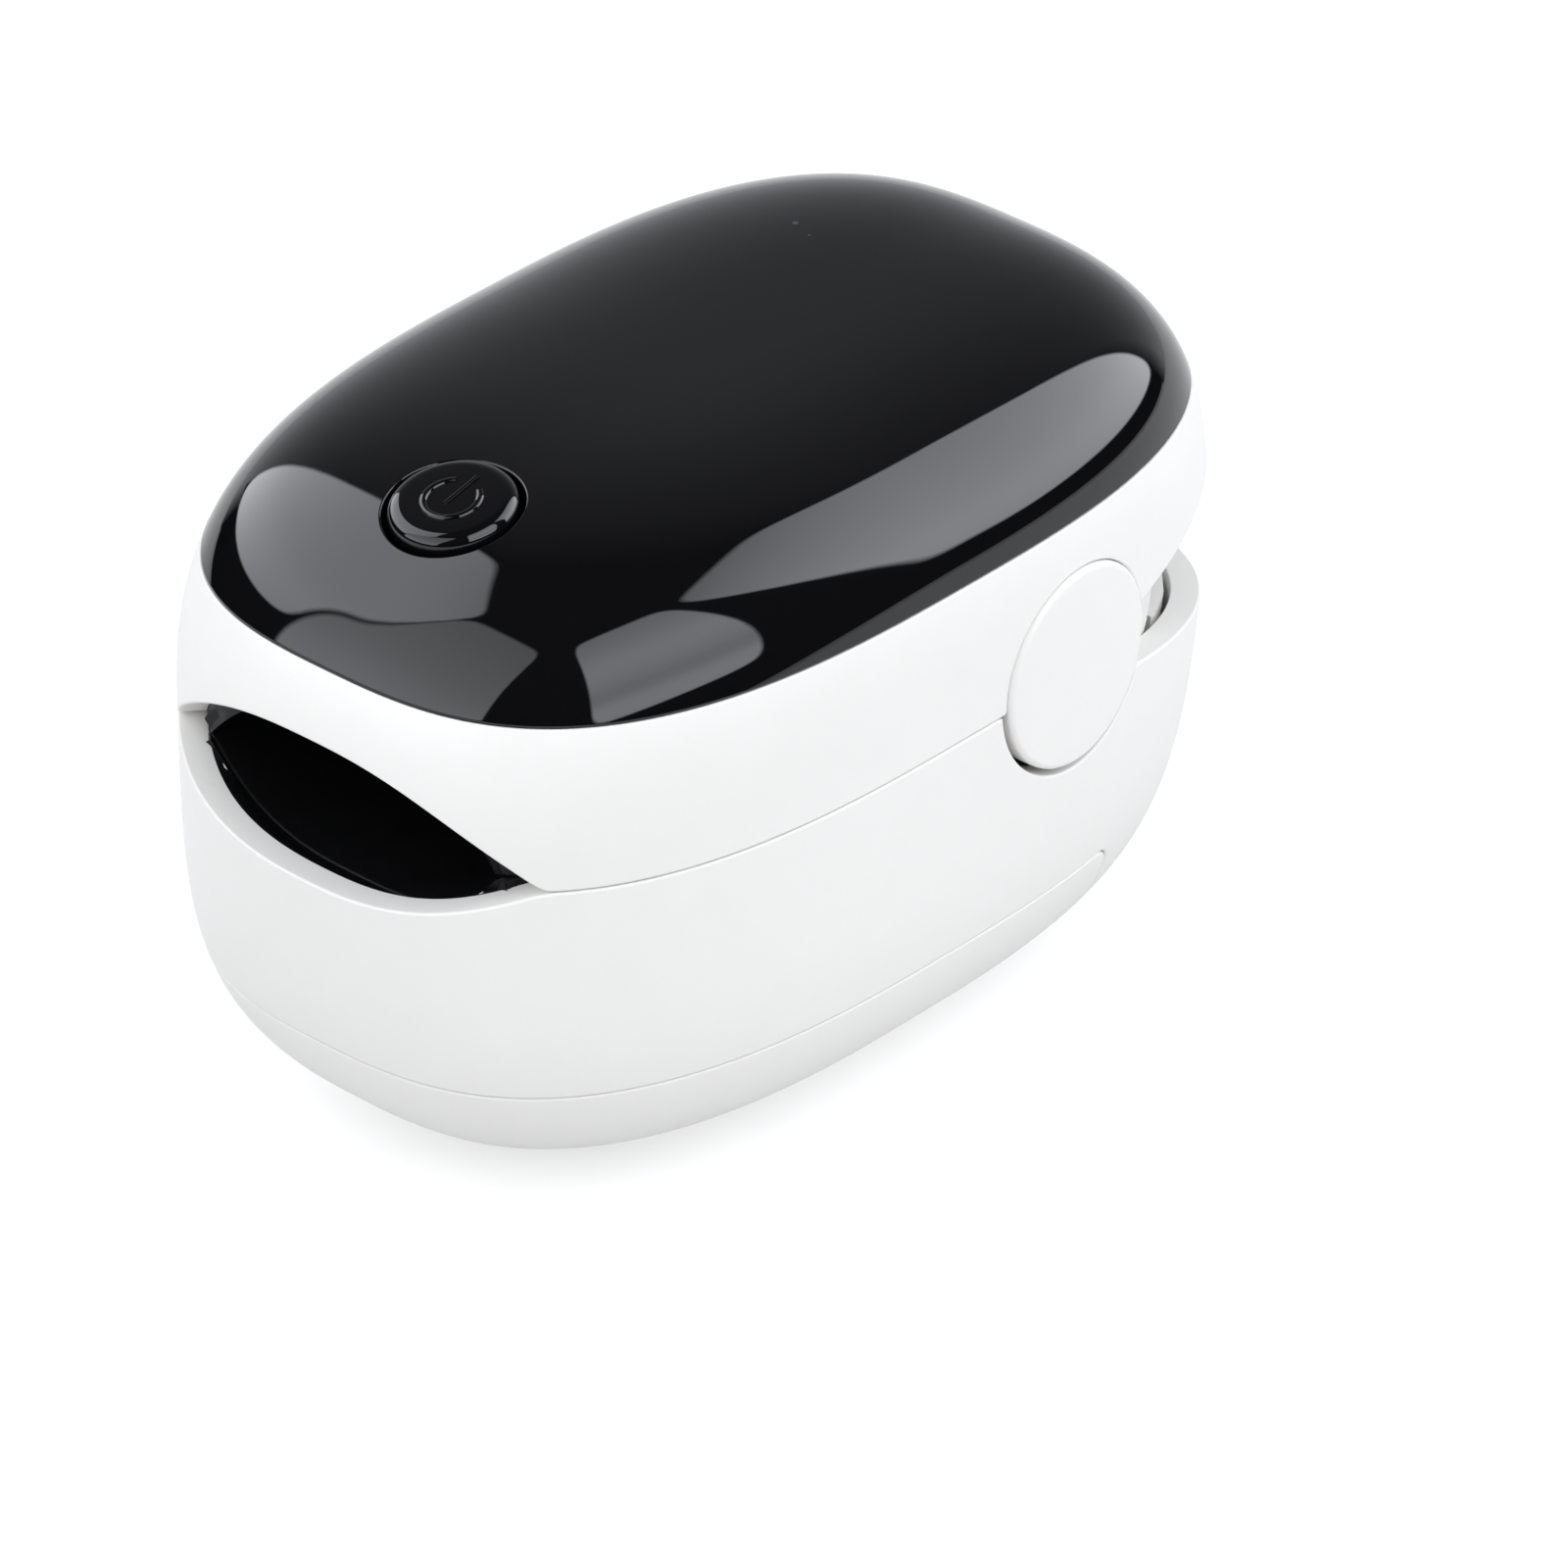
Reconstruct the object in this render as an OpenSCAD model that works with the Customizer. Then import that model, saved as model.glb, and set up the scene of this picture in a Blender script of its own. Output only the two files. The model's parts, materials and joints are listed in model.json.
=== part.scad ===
// Fingertip pulse oximeter: two pebble-shaped half shells that hinge like a clothes peg.
// X is the width, Y the length with the finger mouth towards -Y, Z is up.
// The origin is on the ground under the middle of the body. All sizes are in millimetres.

/* [Body] */
// Width of the body at its widest level
body_w = 35; // [35:0.5:42]
// Length of the body from the finger mouth to the rear
body_l = 55; // [55:0.5:66]
// Height of the body
body_h = 35; // [35:0.5:42]
// Height of the widest level
belt_z = 22; // [21:0.5:24]
// Power of the rounded-rectangle plan outline, 2 is an ellipse
plan_power = 2.85; // [2.6:0.05:3.2]
// How far the dome's highest point lies behind the middle
apex_y = 1.8; // [0:0.1:4]
// How much of the belly is cut off flat to stand on
belly_flat = 0.3; // [0.1:0.05:0.6]
// Thickness of the shell walls
wall = 1.5; // [1.2:0.1:1.7]

/* [Partings] */
// Height of the seam between the two halves
seam_z = 20.7; // [20.3:0.1:21]
// Gap between the two halves along the seam
seam_gap = 0.24; // [0.15:0.01:0.4]
// Height of the seam above the battery cover
cover_z = 8.6; // [8.2:0.1:9]
// Place of the battery cover's rear end along the length
cover_end_y = 11.9; // [11:0.1:13]
// Gap around the battery cover
cover_gap = 0.15; // [0.1:0.01:0.3]
// Height of the edge of the black lens
lens_z = 28.9; // [28.5:0.1:29.5]
// Thickness of the black lens
lens_t = 1.4; // [1.2:0.1:1.6]

/* [Finger channel] */
// Half width of the channel between the pads
channel_r = 9.4; // [9:0.1:9.6]
// Lowest height of the channel floor
channel_floor = 16.7; // [16.6:0.1:17.2]
// Highest height of the channel roof
channel_roof = 24.9; // [24.4:0.1:25]
// Place of the channel's blind end
channel_end_y = 3.9; // [2:0.1:4.2]
// Half width of the mouth where it meets the outside
mouth_r = 12; // [11:0.1:12.5]
// Height of the mouth's upper arch above the seam
mouth_rise = 5; // [4:0.1:5.2]
// Depth of the mouth's lower rim below the seam
mouth_drop = 2.6; // [2:0.1:3]
// Thickness of the finger pads
pad_t = 0.9; // [0.8:0.05:1]

/* [Hinge] */
// Place of the hinge axis along the length
hinge_y = 8.1; // [7.8:0.1:8.4]
// Height of the hinge axis
hinge_z = 21; // [20.8:0.1:21.4]
// Radius of the round hinge caps
cap_r = 5.3; // [5:0.1:5.5]
// Radius of the hinge pins
pin_r = 1.2; // [1:0.05:1.3]
// Running clearance between a pin and its bore
pin_fit = 0.05; // [0.02:0.01:0.08]
// Slope of the upper half's rear edge
upper_rear_slope = 12.5; // [12:0.5:15]
// Slope of the lower half's rear edge
lower_rear_slope = 9.5; // [9:0.5:12]

/* [Power button] */
// Place of the button along the length
button_y = -17; // [-18:0.1:-16]
// Radius of the button's hole in the lens
button_hole_r = 3.45; // [3.3:0.05:3.8]
// Gap around the button
button_gap = 0.3; // [0.2:0.01:0.4]
// Travel of the button
button_travel = 0.4; // [0.2:0.05:0.5]

/* [Battery] */
// Diameter of the AAA cell
cell_d = 10.5; // [9.8:0.1:10.5]
// Length of the AAA cell with its nub
cell_l = 44.5; // [43:0.1:44.5]
// Height of the cell's centre line
cell_z = 9.5; // [9.3:0.05:9.55]

/* [Hidden] */
$fn = 48;
ring_points = 44;
eps = 0.01;
// how the dome and the belly fall in from the widest level: [start power, end root]
side_top = [4.4, 3.25];
side_low = [5.1, 2.35];
front_top = [2.35, 3.95];
front_low = [4.7, 3.25];
rear_top = [1.9, 6.9];
rear_low = [1.4, 9];
// how much the plan power drops from the belt to the ground
power_drop = 0.25;

white = "whitesmoke";
black = [0.04, 0.04, 0.045];
frame_white = [0.93, 0.93, 0.92];
steel = [0.72, 0.73, 0.75];
board_green = [0.05, 0.25, 0.14];

clear = 0.15; // gap that lets an inner part drop into its shell
rim_inner_y = -24.2 * body_l / 55; // where the mouth's funnel meets the pads
pad_front_y = rim_inner_y;
frame_t = 0.8; // thickness of the frames' plates
pad_r = channel_r + pad_t; // half width over a pad
tray_r = pad_r + frame_t;
lower_deck_z = channel_floor - pad_t - frame_t; // underside of the lower deck
upper_deck_z = channel_roof + pad_t + frame_t; // top of the upper deck
deck_t = 0.9;

ear_in = tray_r + 0.1; // inner face of the lower frame's hinge ears
ear_t = 1.5;
cheek_in = ear_in + ear_t + 0.2; // inner face of the upper frame's cheeks
cheek_t = 1.3;
cheek_r = 9;
cap_in = cheek_in + cheek_t; // inner face of the hinge caps' stems
cap_plate_t = 1.4;
recess_gap = 0.35; // gap between a cap and the lower half

cell_y = 0; // middle of the cell along the length
bay_in = cell_d / 2 + 0.5; // inner face of the battery bay's walls
bay_t = 1;
rail_z = 4.4; // underside of the cover's rails
rail_lip = 1.2;
rail_h = 0.8;
rail_front_y = -16;
tongue_gap = 0.3;
tongue_in = bay_in + bay_t + 0.4;
cover_wall = 1.2;

sensor_y = -6; // place of the light and of the photodiode along the length
window_r = 2.2;
ribbon_w = 6;
ribbon_t = 0.2;
ribbon_z = lower_deck_z + 0.35;
ribbon_y = channel_end_y + 2.4;

board_z = upper_deck_z + 0.3;
board_t = 0.8;
board_w = 21;
board_front_y = -20.2;
board_rear_y = 17;

// ---- the pebble form ----

function top_of(s) = body_h - s;
function low_of(s) = s - belly_flat;
function fall(t, e) = pow(max(0, 1 - pow(max(0, min(1, t)), e[0])), 1 / e[1]);
// share of the way from the belt to the top or to the ground, for a skin s under the outside
function share(z, s) = z >= belt_z
    ? (z - belt_z) / (top_of(s) - belt_z)
    : (belt_z - z) / (belt_z - low_of(s));
function half_w(z, s) = (body_w / 2 - s) * fall(share(z, s), z >= belt_z ? side_top : side_low);
function mid_y(z, s) = z >= belt_z ? apex_y * pow(share(z, s), 2) : 0;
function front_reach(z, s) = (body_l / 2 - s + mid_y(z, s))
    * fall(share(z, s), z >= belt_z ? front_top : front_low);
function rear_reach(z, s) = (body_l / 2 - s - mid_y(z, s))
    * fall(share(z, s), z >= belt_z ? rear_top : rear_low);
function power_at(z, s) = z >= belt_z ? plan_power : plan_power - power_drop * pow(share(z, s), 2);
function signed_pow(v, p) = sign(v) * pow(abs(v), p);

// one level outline of the pebble, read at height z and drawn at height at_z
function ring(z, s, at_z) = [
    for (i = [0 : ring_points - 1])
        let (
            a = 360 * i / ring_points,
            p = 2 / power_at(z, s),
            reach = sin(a) < 0 ? front_reach(z, s) : rear_reach(z, s)
        )
        [half_w(z, s) * signed_pow(cos(a), p), mid_y(z, s) + reach * signed_pow(sin(a), p), at_z]
];

// levels are spaced by an angle from the belt, so that they close up towards the poles
pole = 87.6;
function angle_of(z, s) = z >= belt_z
    ? min(pole, asin(min(1, (z - belt_z) / (top_of(s) - belt_z))))
    : -min(pole, asin(min(1, (belt_z - z) / (belt_z - low_of(s)))));
function height_of(a, s) = a >= 0
    ? belt_z + (top_of(s) - belt_z) * sin(a)
    : belt_z + (belt_z - low_of(s)) * sin(a);

// the pebble, s under its outside, from height z0 to height z1
module pebble(s, z0, z1, steps = 8) {
    a0 = angle_of(z0, s);
    a1 = angle_of(z1, s);
    levels = [for (k = [0 : steps]) height_of(a0 + (a1 - a0) * k / steps, s)];
    drawn = [
        for (k = [0 : steps]) k == 0 ? max(z0, low_of(s)) : k == steps ? min(z1, top_of(s)) : levels[k]
    ];
    points = [for (k = [0 : steps]) each ring(levels[k], s, drawn[k])];
    n = ring_points;
    sides = [
        for (k = [0 : steps - 1], i = [0 : n - 1])
            let (a = k * n + i, b = k * n + (i + 1) % n)
            each [[a, a + n, b + n], [a, b + n, b]]
    ];
    caps = [[for (i = [0 : n - 1]) i], [for (i = [n - 1 : -1 : 0]) steps * n + i]];
    polyhedron(points, concat(sides, caps), convexity = 6);
}

// height of the dome on the centre line at place y, found by halving the span
function dome_z(y, s, lo, hi, n = 24) = n == 0
    ? (lo + hi) / 2
    : let (m = (lo + hi) / 2)
      mid_y(m, s) - front_reach(m, s) < y ? dome_z(y, s, m, hi, n - 1) : dome_z(y, s, lo, m, n - 1);

// ---- profiles of the channel and the mouth, across the width ----

profile_steps = 10;
function across(r) = [for (i = [-profile_steps : profile_steps]) r * i / profile_steps];
function floor_curve(r, low, high) = [for (x = across(r)) [x, low + (high - low) * pow(abs(x) / r, 3)]];
function roof_curve(r, high, low) = [for (x = across(r)) [x, high - (high - low) * pow(abs(x) / r, 3)]];
function flipped(v) = [for (i = [len(v) - 1 : -1 : 0]) v[i]];

// a profile drawn in X and Z, pulled along Y
module along_y(y0, y1) {
    translate([0, y1, 0]) rotate([90, 0, 0]) linear_extrude(y1 - y0) children();
}

// a profile drawn in Y and Z, pulled along X
module along_x(x0, x1) {
    translate([x0, 0, 0]) rotate([90, 0, 90]) linear_extrude(x1 - x0) children();
}

module on_both_sides() {
    children();
    mirror([1, 0, 0]) children();
}

side_top_z = seam_z - 0.15; // where the lower pad stops at the sides
side_low_z = seam_z + 0.15; // where the upper pad stops at the sides

module rim_floor_profile() {
    polygon(concat(
        [for (x = across(mouth_r)) [x, seam_z - mouth_drop * (1 - pow(abs(x) / mouth_r, 2.2))]],
        [[mouth_r, seam_z + 9], [-mouth_r, seam_z + 9]]
    ));
}

module channel_floor_profile() {
    polygon(concat(
        floor_curve(channel_r, channel_floor, side_top_z),
        [[channel_r, seam_z + 9], [-channel_r, seam_z + 9]]
    ));
}

module channel_roof_profile() {
    polygon(concat(
        roof_curve(channel_r, channel_roof, side_low_z),
        [[channel_r, seam_z - 9], [-channel_r, seam_z - 9]]
    ));
}

// what the finger's way takes out of the lower half
module lower_channel(end_y) {
    hull() {
        along_y(-body_l / 2 - 2, -body_l / 2 - 0.5) rim_floor_profile();
        along_y(rim_inner_y - eps, rim_inner_y) channel_floor_profile();
    }
    along_y(rim_inner_y - 0.5, end_y) channel_floor_profile();
}

// what the finger's way takes out of the upper half
module upper_channel(end_y) {
    along_y(-body_l / 2 - 2, rim_inner_y) polygon(concat(
        [for (x = across(mouth_r)) [x, seam_z + mouth_rise * (1 - pow(abs(x) / mouth_r, 2.7))]],
        [[mouth_r, seam_z - 9], [-mouth_r, seam_z - 9]]
    ));
    along_y(rim_inner_y - 0.5, end_y) channel_roof_profile();
}

// ---- the rear gap that the two halves close when the clip is squeezed ----

function upper_rear_z(y) = hinge_z + (y - hinge_y) * tan(upper_rear_slope) - 0.25;
function lower_rear_z(y) = hinge_z - 1.6 - (y - hinge_y) * tan(lower_rear_slope);

module below_upper_rear(drop = 0) {
    far = body_l;
    along_x(-body_w, body_w) polygon([
        [hinge_y, upper_rear_z(hinge_y) + drop], [far, upper_rear_z(far) + drop],
        [far, -5], [hinge_y, -5]
    ]);
}

module above_lower_rear(drop = 0) {
    far = body_l;
    along_x(-body_w, body_w) polygon([
        [hinge_y, lower_rear_z(hinge_y) - drop], [far, lower_rear_z(far) - drop],
        [far, body_h + 5], [hinge_y, body_h + 5]
    ]);
}

module hinge_disc(r, x0, x1) {
    translate([x0, hinge_y, hinge_z]) rotate([0, 90, 0]) cylinder(r = r, h = x1 - x0);
}

// ---- screws ----

screw_r = 0.75;
screw_head_r = 1.4;
screw_head_h = 0.8;
screw_l = 4.4;
screw_fit = 0.05;
boss_r = 2;

// a small pan-head screw standing on its head's underside at the origin, pointing down
module screw(l) {
    difference() {
        union() {
            cylinder(r = screw_head_r, h = screw_head_h);
            translate([0, 0, -l]) cylinder(r = screw_r, h = l + eps);
        }
        for (a = [0, 90]) rotate(a) translate([-0.9, -0.16, screw_head_h - 0.4]) cube([1.8, 0.32, 1]);
    }
}

frame_screw_at = [[body_w / 2 - 4.9, -13], [9.4, 15.8]];
boss_foot_z = [cover_z + 1, wall - 0.5]; // where each boss starts
board_screw_at = [[8.2, -12.6], [8.2, 13.4]];
frame_screw_z = lower_deck_z + deck_t;
board_screw_z = board_z + board_t;

// ---- the lower half ----

module lower_shell() {
    color(white) difference() {
        union() {
            difference() {
                pebble(0, 0, seam_z - seam_gap / 2, 8);
                pebble(wall, wall, seam_z + 5, 8);
            }
            on_both_sides() for (i = [0, 1])
                translate([frame_screw_at[i][0], frame_screw_at[i][1], boss_foot_z[i]])
                    cylinder(r = boss_r, h = lower_deck_z - boss_foot_z[i]);
            on_both_sides() translate([frame_screw_at[0][0], frame_screw_at[0][1] - 1, cover_z + 1])
                cube([3, 2, lower_deck_z - cover_z - 1]);
        }
        translate([-body_w, -body_l, -1]) cube([2 * body_w, body_l + cover_end_y, cover_z + 1]);
        lower_channel(rim_inner_y + 1);
        above_lower_rear();
        hinge_disc(cap_r + recess_gap, -body_w, body_w);
        translate([0, 0, cell_z]) rotate([-90, 0, 0])
            cylinder(r = cell_d / 2 + 0.1, h = cell_y + cell_l / 2 + 0.1);
        on_both_sides() for (p = frame_screw_at)
            translate([p[0], p[1], lower_deck_z - 5]) cylinder(r = screw_r + screw_fit, h = 10);
    }
}

module lower_frame() {
    deck_front = rim_inner_y + 2.4;
    color(frame_white) difference() {
        union() {
            // everything that is trimmed to fit inside the lower shell
            intersection() {
                union() {
                    along_y(-body_l / 2, channel_end_y + 1.2) polygon(concat(
                        floor_curve(tray_r, lower_deck_z, side_top_z),
                        flipped(floor_curve(tray_r - eps, side_top_z - 0.2, side_top_z))
                    ));
                    translate([-body_w / 2, deck_front, lower_deck_z]) cube([body_w, 26, deck_t]);
                    translate([-ear_in - ear_t, 0, lower_deck_z]) cube([2 * (ear_in + ear_t), 25.4, deck_t]);
                    along_x(-body_w / 2, body_w / 2) polygon([
                        [18, lower_deck_z], [18, lower_rear_z(18)],
                        [body_l / 2, lower_rear_z(body_l / 2)],
                        [body_l / 2, lower_rear_z(body_l / 2) - deck_t],
                        [19, lower_rear_z(19) - deck_t], [19, lower_deck_z]
                    ]);
                    translate([-body_w / 2, 17.8, lower_deck_z]) cube([body_w, 4, deck_t]);
                }
                pebble(wall + clear, 9, seam_z - 0.1, 5);
            }
            // hinge ears
            on_both_sides() {
                hinge_disc(3.4, ear_in, ear_in + ear_t);
                translate([ear_in, hinge_y - 3.4, lower_deck_z]) cube([ear_t, 6.8, hinge_z - lower_deck_z]);
            }
            // battery bay walls with the rails that carry the cover
            on_both_sides() {
                translate([bay_in, -19, rail_z + 0.4]) cube([bay_t, 38, lower_deck_z - rail_z - 0.2]);
                translate([bay_in, rail_front_y, rail_z]) cube([bay_t, 27, 1]);
                translate([bay_in, rail_front_y, rail_z]) cube([bay_t + rail_lip, 27, rail_h]);
            }
            // wall behind the front contact
            translate([-bay_in, cell_y - cell_l / 2 - 1.25, cover_z])
                cube([2 * bay_in, 0.8, lower_deck_z - cover_z + 0.4]);
            on_both_sides() translate([bay_in - 0.35, cell_y - cell_l / 2 - 1.25, cover_z])
                cube([bay_t, 5, lower_deck_z - cover_z + 0.4]);
        }
        lower_channel(channel_end_y);
        // bed of the lower pad
        along_y(rim_inner_y, channel_end_y + 1) polygon(concat(
            floor_curve(pad_r + 0.05, lower_deck_z + frame_t - 0.02, side_top_z),
            [[pad_r + 0.05, seam_z + 9], [-pad_r - 0.05, seam_z + 9]]
        ));
        // window for the photodiode's board
        translate([-3.2, sensor_y - 3.2, lower_deck_z - 1]) cube([6.4, 6.4, 3]);
        // groove for the ribbon
        translate([-ribbon_w / 2 - 0.2, sensor_y, ribbon_z - 0.05])
            cube([ribbon_w + 0.4, ribbon_y - sensor_y + 0.6, 3]);
        hinge_disc(pin_r + pin_fit, -body_w, body_w);
        on_both_sides() for (p = frame_screw_at)
            translate([p[0], p[1], lower_deck_z - 1]) cylinder(r = screw_r + screw_fit, h = 4);
    }
}

module lower_finger_pad() {
    color(black) difference() {
        intersection() {
            pebble(wall + clear, 14, seam_z, 3);
            along_y(pad_front_y, channel_end_y + 0.9) polygon(concat(
                floor_curve(pad_r, lower_deck_z + frame_t, side_top_z),
                flipped(floor_curve(pad_r - eps, side_top_z - 0.1, side_top_z))
            ));
        }
        lower_channel(channel_end_y);
        translate([0, sensor_y, 10]) cylinder(r = window_r, h = 10);
    }
}

module sensor_board() {
    color(board_green) translate([-3, sensor_y - 3, lower_deck_z + 0.1]) cube([6, 6, 0.5]);
}

module photodiode() {
    color([0.1, 0.1, 0.14]) translate([-1.4, sensor_y - 1.4, lower_deck_z + 0.6]) cube([2.8, 2.8, 0.85]);
}

module battery_cell() {
    nub = 0.8;
    body = cell_l - nub;
    color([0.22, 0.36, 0.5]) translate([0, cell_y + cell_l / 2, cell_z]) rotate([90, 0, 0]) {
        cylinder(r = cell_d / 2, h = body);
        cylinder(r = 1.9, h = cell_l);
    }
}

module battery_contact_front() {
    y = cell_y - cell_l / 2;
    color(steel) translate([-4, y - 0.4, cover_z + 0.1]) cube([8, 0.35, 5.6]);
}

module battery_contact_rear() {
    y = cell_y + cell_l / 2;
    color(steel) {
        translate([0, y + 0.05, cell_z]) rotate([-90, 0, 0]) cylinder(r1 = 1.8, r2 = 2.5, h = 0.7);
        translate([-4, y + 0.7, cell_z - 1.9]) cube([8, 0.3, 5.8]);
    }
}

module frame_screws() {
    color(steel) on_both_sides() for (p = frame_screw_at)
        translate([p[0], p[1], frame_screw_z]) screw(screw_l);
}

// ---- torsion springs ----

spring_r = 2.1; // mean radius of a coil
spring_wire = 0.6;
spring_turns = 3; // counted from the bottom of the coil to the top, so half a turn fewer are whole
spring_in = 8; // inner end of the coil
spring_pitch = 0.65;
spring_leg = 8.4;
lower_leg_tilt = 2;
upper_leg_tilt = -15;

// one wire bent from the lower leg's tip, round the coil and out to the upper leg's tip
module torsion_spring() {
    a0 = lower_leg_tilt - 90;
    a1 = upper_leg_tilt + 90 - 360 * spring_turns;
    n = ceil((a0 - a1) / 15);
    function on_coil(a) = [
        spring_in + spring_wire / 2 + spring_pitch * (a0 - a) / 360,
        hinge_y + spring_r * cos(a),
        hinge_z + spring_r * sin(a)
    ];
    function ahead(a) = [0, sin(a), -cos(a)];
    centres = concat(
        [[on_coil(a0) - spring_leg * ahead(a0), a0]],
        [for (k = [0 : n]) let (a = a0 + (a1 - a0) * k / n) [on_coil(a), a]],
        [[on_coil(a1) + spring_leg * ahead(a1), a1]]
    );
    m = 10;
    points = [
        for (c = centres, i = [0 : m - 1])
            let (u = cos(360 * i / m), v = sin(360 * i / m))
            c[0] + spring_wire / 2 * [u, v * cos(c[1]), v * sin(c[1])]
    ];
    last = len(centres) - 1;
    sides = [
        for (k = [0 : last - 1], i = [0 : m - 1])
            let (p = k * m + i, q = k * m + (i + 1) % m)
            each [[q + m, p + m, p], [p, q, q + m]]
    ];
    caps = [[for (i = [m - 1 : -1 : 0]) i], [for (i = [0 : m - 1]) last * m + i]];
    color(steel) polyhedron(points, concat(sides, caps), convexity = 10);
}

// ---- the battery cover ----

module battery_cover() {
    top = cover_z - cover_gap;
    end = cover_end_y - cover_gap;
    color(white) intersection() {
        union() {
            difference() {
                pebble(0, 0, top, 6);
                pebble(cover_wall, cover_wall, cover_z + 5, 6);
            }
            // tongues that ride on the lower frame's rails
            on_both_sides() intersection() {
                translate([tongue_in, rail_front_y + 1, rail_z + rail_h + tongue_gap])
                    cube([body_w / 2, end - rail_front_y - 1, 0.9]);
                pebble(cover_wall / 2, 4, top, 3);
            }
        }
        translate([-body_w, -body_l, -1]) cube([2 * body_w, body_l + end, body_h]);
    }
}

// ---- the upper half ----

module upper_shell() {
    color(white) difference() {
        pebble(0, seam_z + seam_gap / 2, lens_z, 6);
        pebble(wall, seam_z - 1, lens_z + 1, 6);
        upper_channel(rim_inner_y + 1);
        below_upper_rear();
        hinge_disc(cap_r + 0.04, -body_w, body_w);
    }
}

// the button's own frame: at its place on the dome, with Z along its axis
button_z = dome_z(button_y, 0, belt_z, body_h - eps);
button_tilt = atan((dome_z(button_y + 1, 0, belt_z, body_h - eps)
    - dome_z(button_y - 1, 0, belt_z, body_h - eps)) / 2);
module at_button() {
    translate([0, button_y, button_z]) rotate([button_tilt, 0, 0]) children();
}

module display_lens() {
    color(black) difference() {
        union() {
            difference() {
                pebble(0, lens_z, body_h, 8);
                pebble(lens_t, lens_z - 1, body_h - lens_t, 8);
            }
            // skirt that plugs into the upper shell
            difference() {
                pebble(wall + 0.05, lens_z - 1.6, lens_z + 0.8, 2);
                pebble(wall + 1.05, lens_z - 2, lens_z + 1, 2);
            }
            difference() {
                pebble(wall - 0.5, lens_z, lens_z + 0.8, 2);
                pebble(wall + 1.05, lens_z - 2, lens_z + 1, 2);
            }
        }
        at_button() translate([0, 0, -4]) cylinder(r = button_hole_r, h = 8);
    }
}

module upper_frame() {
    color(frame_white) difference() {
        union() {
            intersection() {
                union() {
                    along_y(-body_l / 2, channel_end_y + 1.2) polygon(concat(
                        roof_curve(tray_r, upper_deck_z, side_low_z),
                        flipped(roof_curve(tray_r - eps, side_low_z + 0.2, side_low_z))
                    ));
                    translate([-body_w / 2, rim_inner_y + 1.5, upper_deck_z - deck_t])
                        cube([body_w, body_l, deck_t]);
                    along_x(-body_w / 2, body_w / 2) polygon([
                        [14, upper_rear_z(14)], [body_l / 2, upper_rear_z(body_l / 2)],
                        [body_l / 2, upper_rear_z(body_l / 2) + deck_t], [14, upper_rear_z(14) + deck_t]
                    ]);
                }
                pebble(wall + clear, seam_z + 0.1, lens_z - 1.7, 5);
            }
            // round cheeks that carry the hinge pins
            on_both_sides() intersection() {
                hinge_disc(cheek_r, cheek_in, cheek_in + cheek_t);
                translate([0, 0, hinge_z - 4.4]) cube([body_w, body_l / 2, 9.2]);
            }
            // posts under the main board
            on_both_sides() for (p = board_screw_at)
                translate([p[0], p[1], upper_deck_z - deck_t])
                    cylinder(r = 1.7, h = board_z - upper_deck_z + deck_t);
        }
        upper_channel(channel_end_y);
        along_y(rim_inner_y, channel_end_y + 1) polygon(concat(
            roof_curve(pad_r + 0.05, upper_deck_z - frame_t + 0.02, side_low_z),
            [[pad_r + 0.05, seam_z - 9], [-pad_r - 0.05, seam_z - 9]]
        ));
        translate([-3.2, sensor_y - 3.2, upper_deck_z - 2]) cube([6.4, 6.4, 3]);
        translate([-ribbon_w / 2 - 0.4, ribbon_y - 0.7, upper_deck_z - 3]) cube([ribbon_w + 0.8, 1.6, 4]);
        hinge_disc(pin_r, -body_w, body_w);
        on_both_sides() for (p = board_screw_at)
            translate([p[0], p[1], upper_deck_z - 3]) cylinder(r = screw_r + screw_fit, h = 6);
    }
}

module upper_finger_pad() {
    color(black) difference() {
        intersection() {
            pebble(wall + clear, seam_z, 28, 4);
            along_y(pad_front_y, channel_end_y + 0.9) polygon(concat(
                roof_curve(pad_r, upper_deck_z - frame_t, side_low_z),
                flipped(roof_curve(pad_r - eps, side_low_z + 0.1, side_low_z))
            ));
        }
        upper_channel(channel_end_y);
        translate([0, sensor_y, seam_z]) cylinder(r = window_r, h = 10);
    }
}

module led_emitter() {
    foot = upper_deck_z - frame_t - 0.6;
    color([0.85, 0.3, 0.25]) translate([-1.5, sensor_y - 1.5, foot]) cube([3, 3, board_z - foot - 0.05]);
}

module rounded_plate(w, l, t, r) {
    linear_extrude(t) {
        square([w - 2 * r, l], center = true);
        square([w, l - 2 * r], center = true);
        for (x = [-1, 1], y = [-1, 1]) translate([x * (w / 2 - r), y * (l / 2 - r)]) circle(r);
    }
}

module main_board() {
    color(board_green) difference() {
        translate([0, (board_front_y + board_rear_y) / 2, board_z])
            rounded_plate(board_w, board_rear_y - board_front_y, board_t, 5);
        translate([-ribbon_w / 2 - 0.4, ribbon_y - 0.7, board_z - 1]) cube([ribbon_w + 0.8, 1.6, 4]);
        on_both_sides() for (p = board_screw_at)
            translate([p[0], p[1], board_z - 1]) cylinder(r = screw_r + screw_fit, h = 4);
    }
}

module display_module() {
    color([0.06, 0.07, 0.1]) translate([-8.6, -10, board_z + board_t]) difference() {
        cube([17.2, 14.6, 2.6]);
        translate([1.2, 1.2, 2.2]) cube([14.8, 12.2, 1]);
    }
}

module processor_chip() {
    color([0.1, 0.1, 0.1]) translate([-3, 12.4, board_z + board_t]) cube([4, 4, 0.9]);
}

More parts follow.
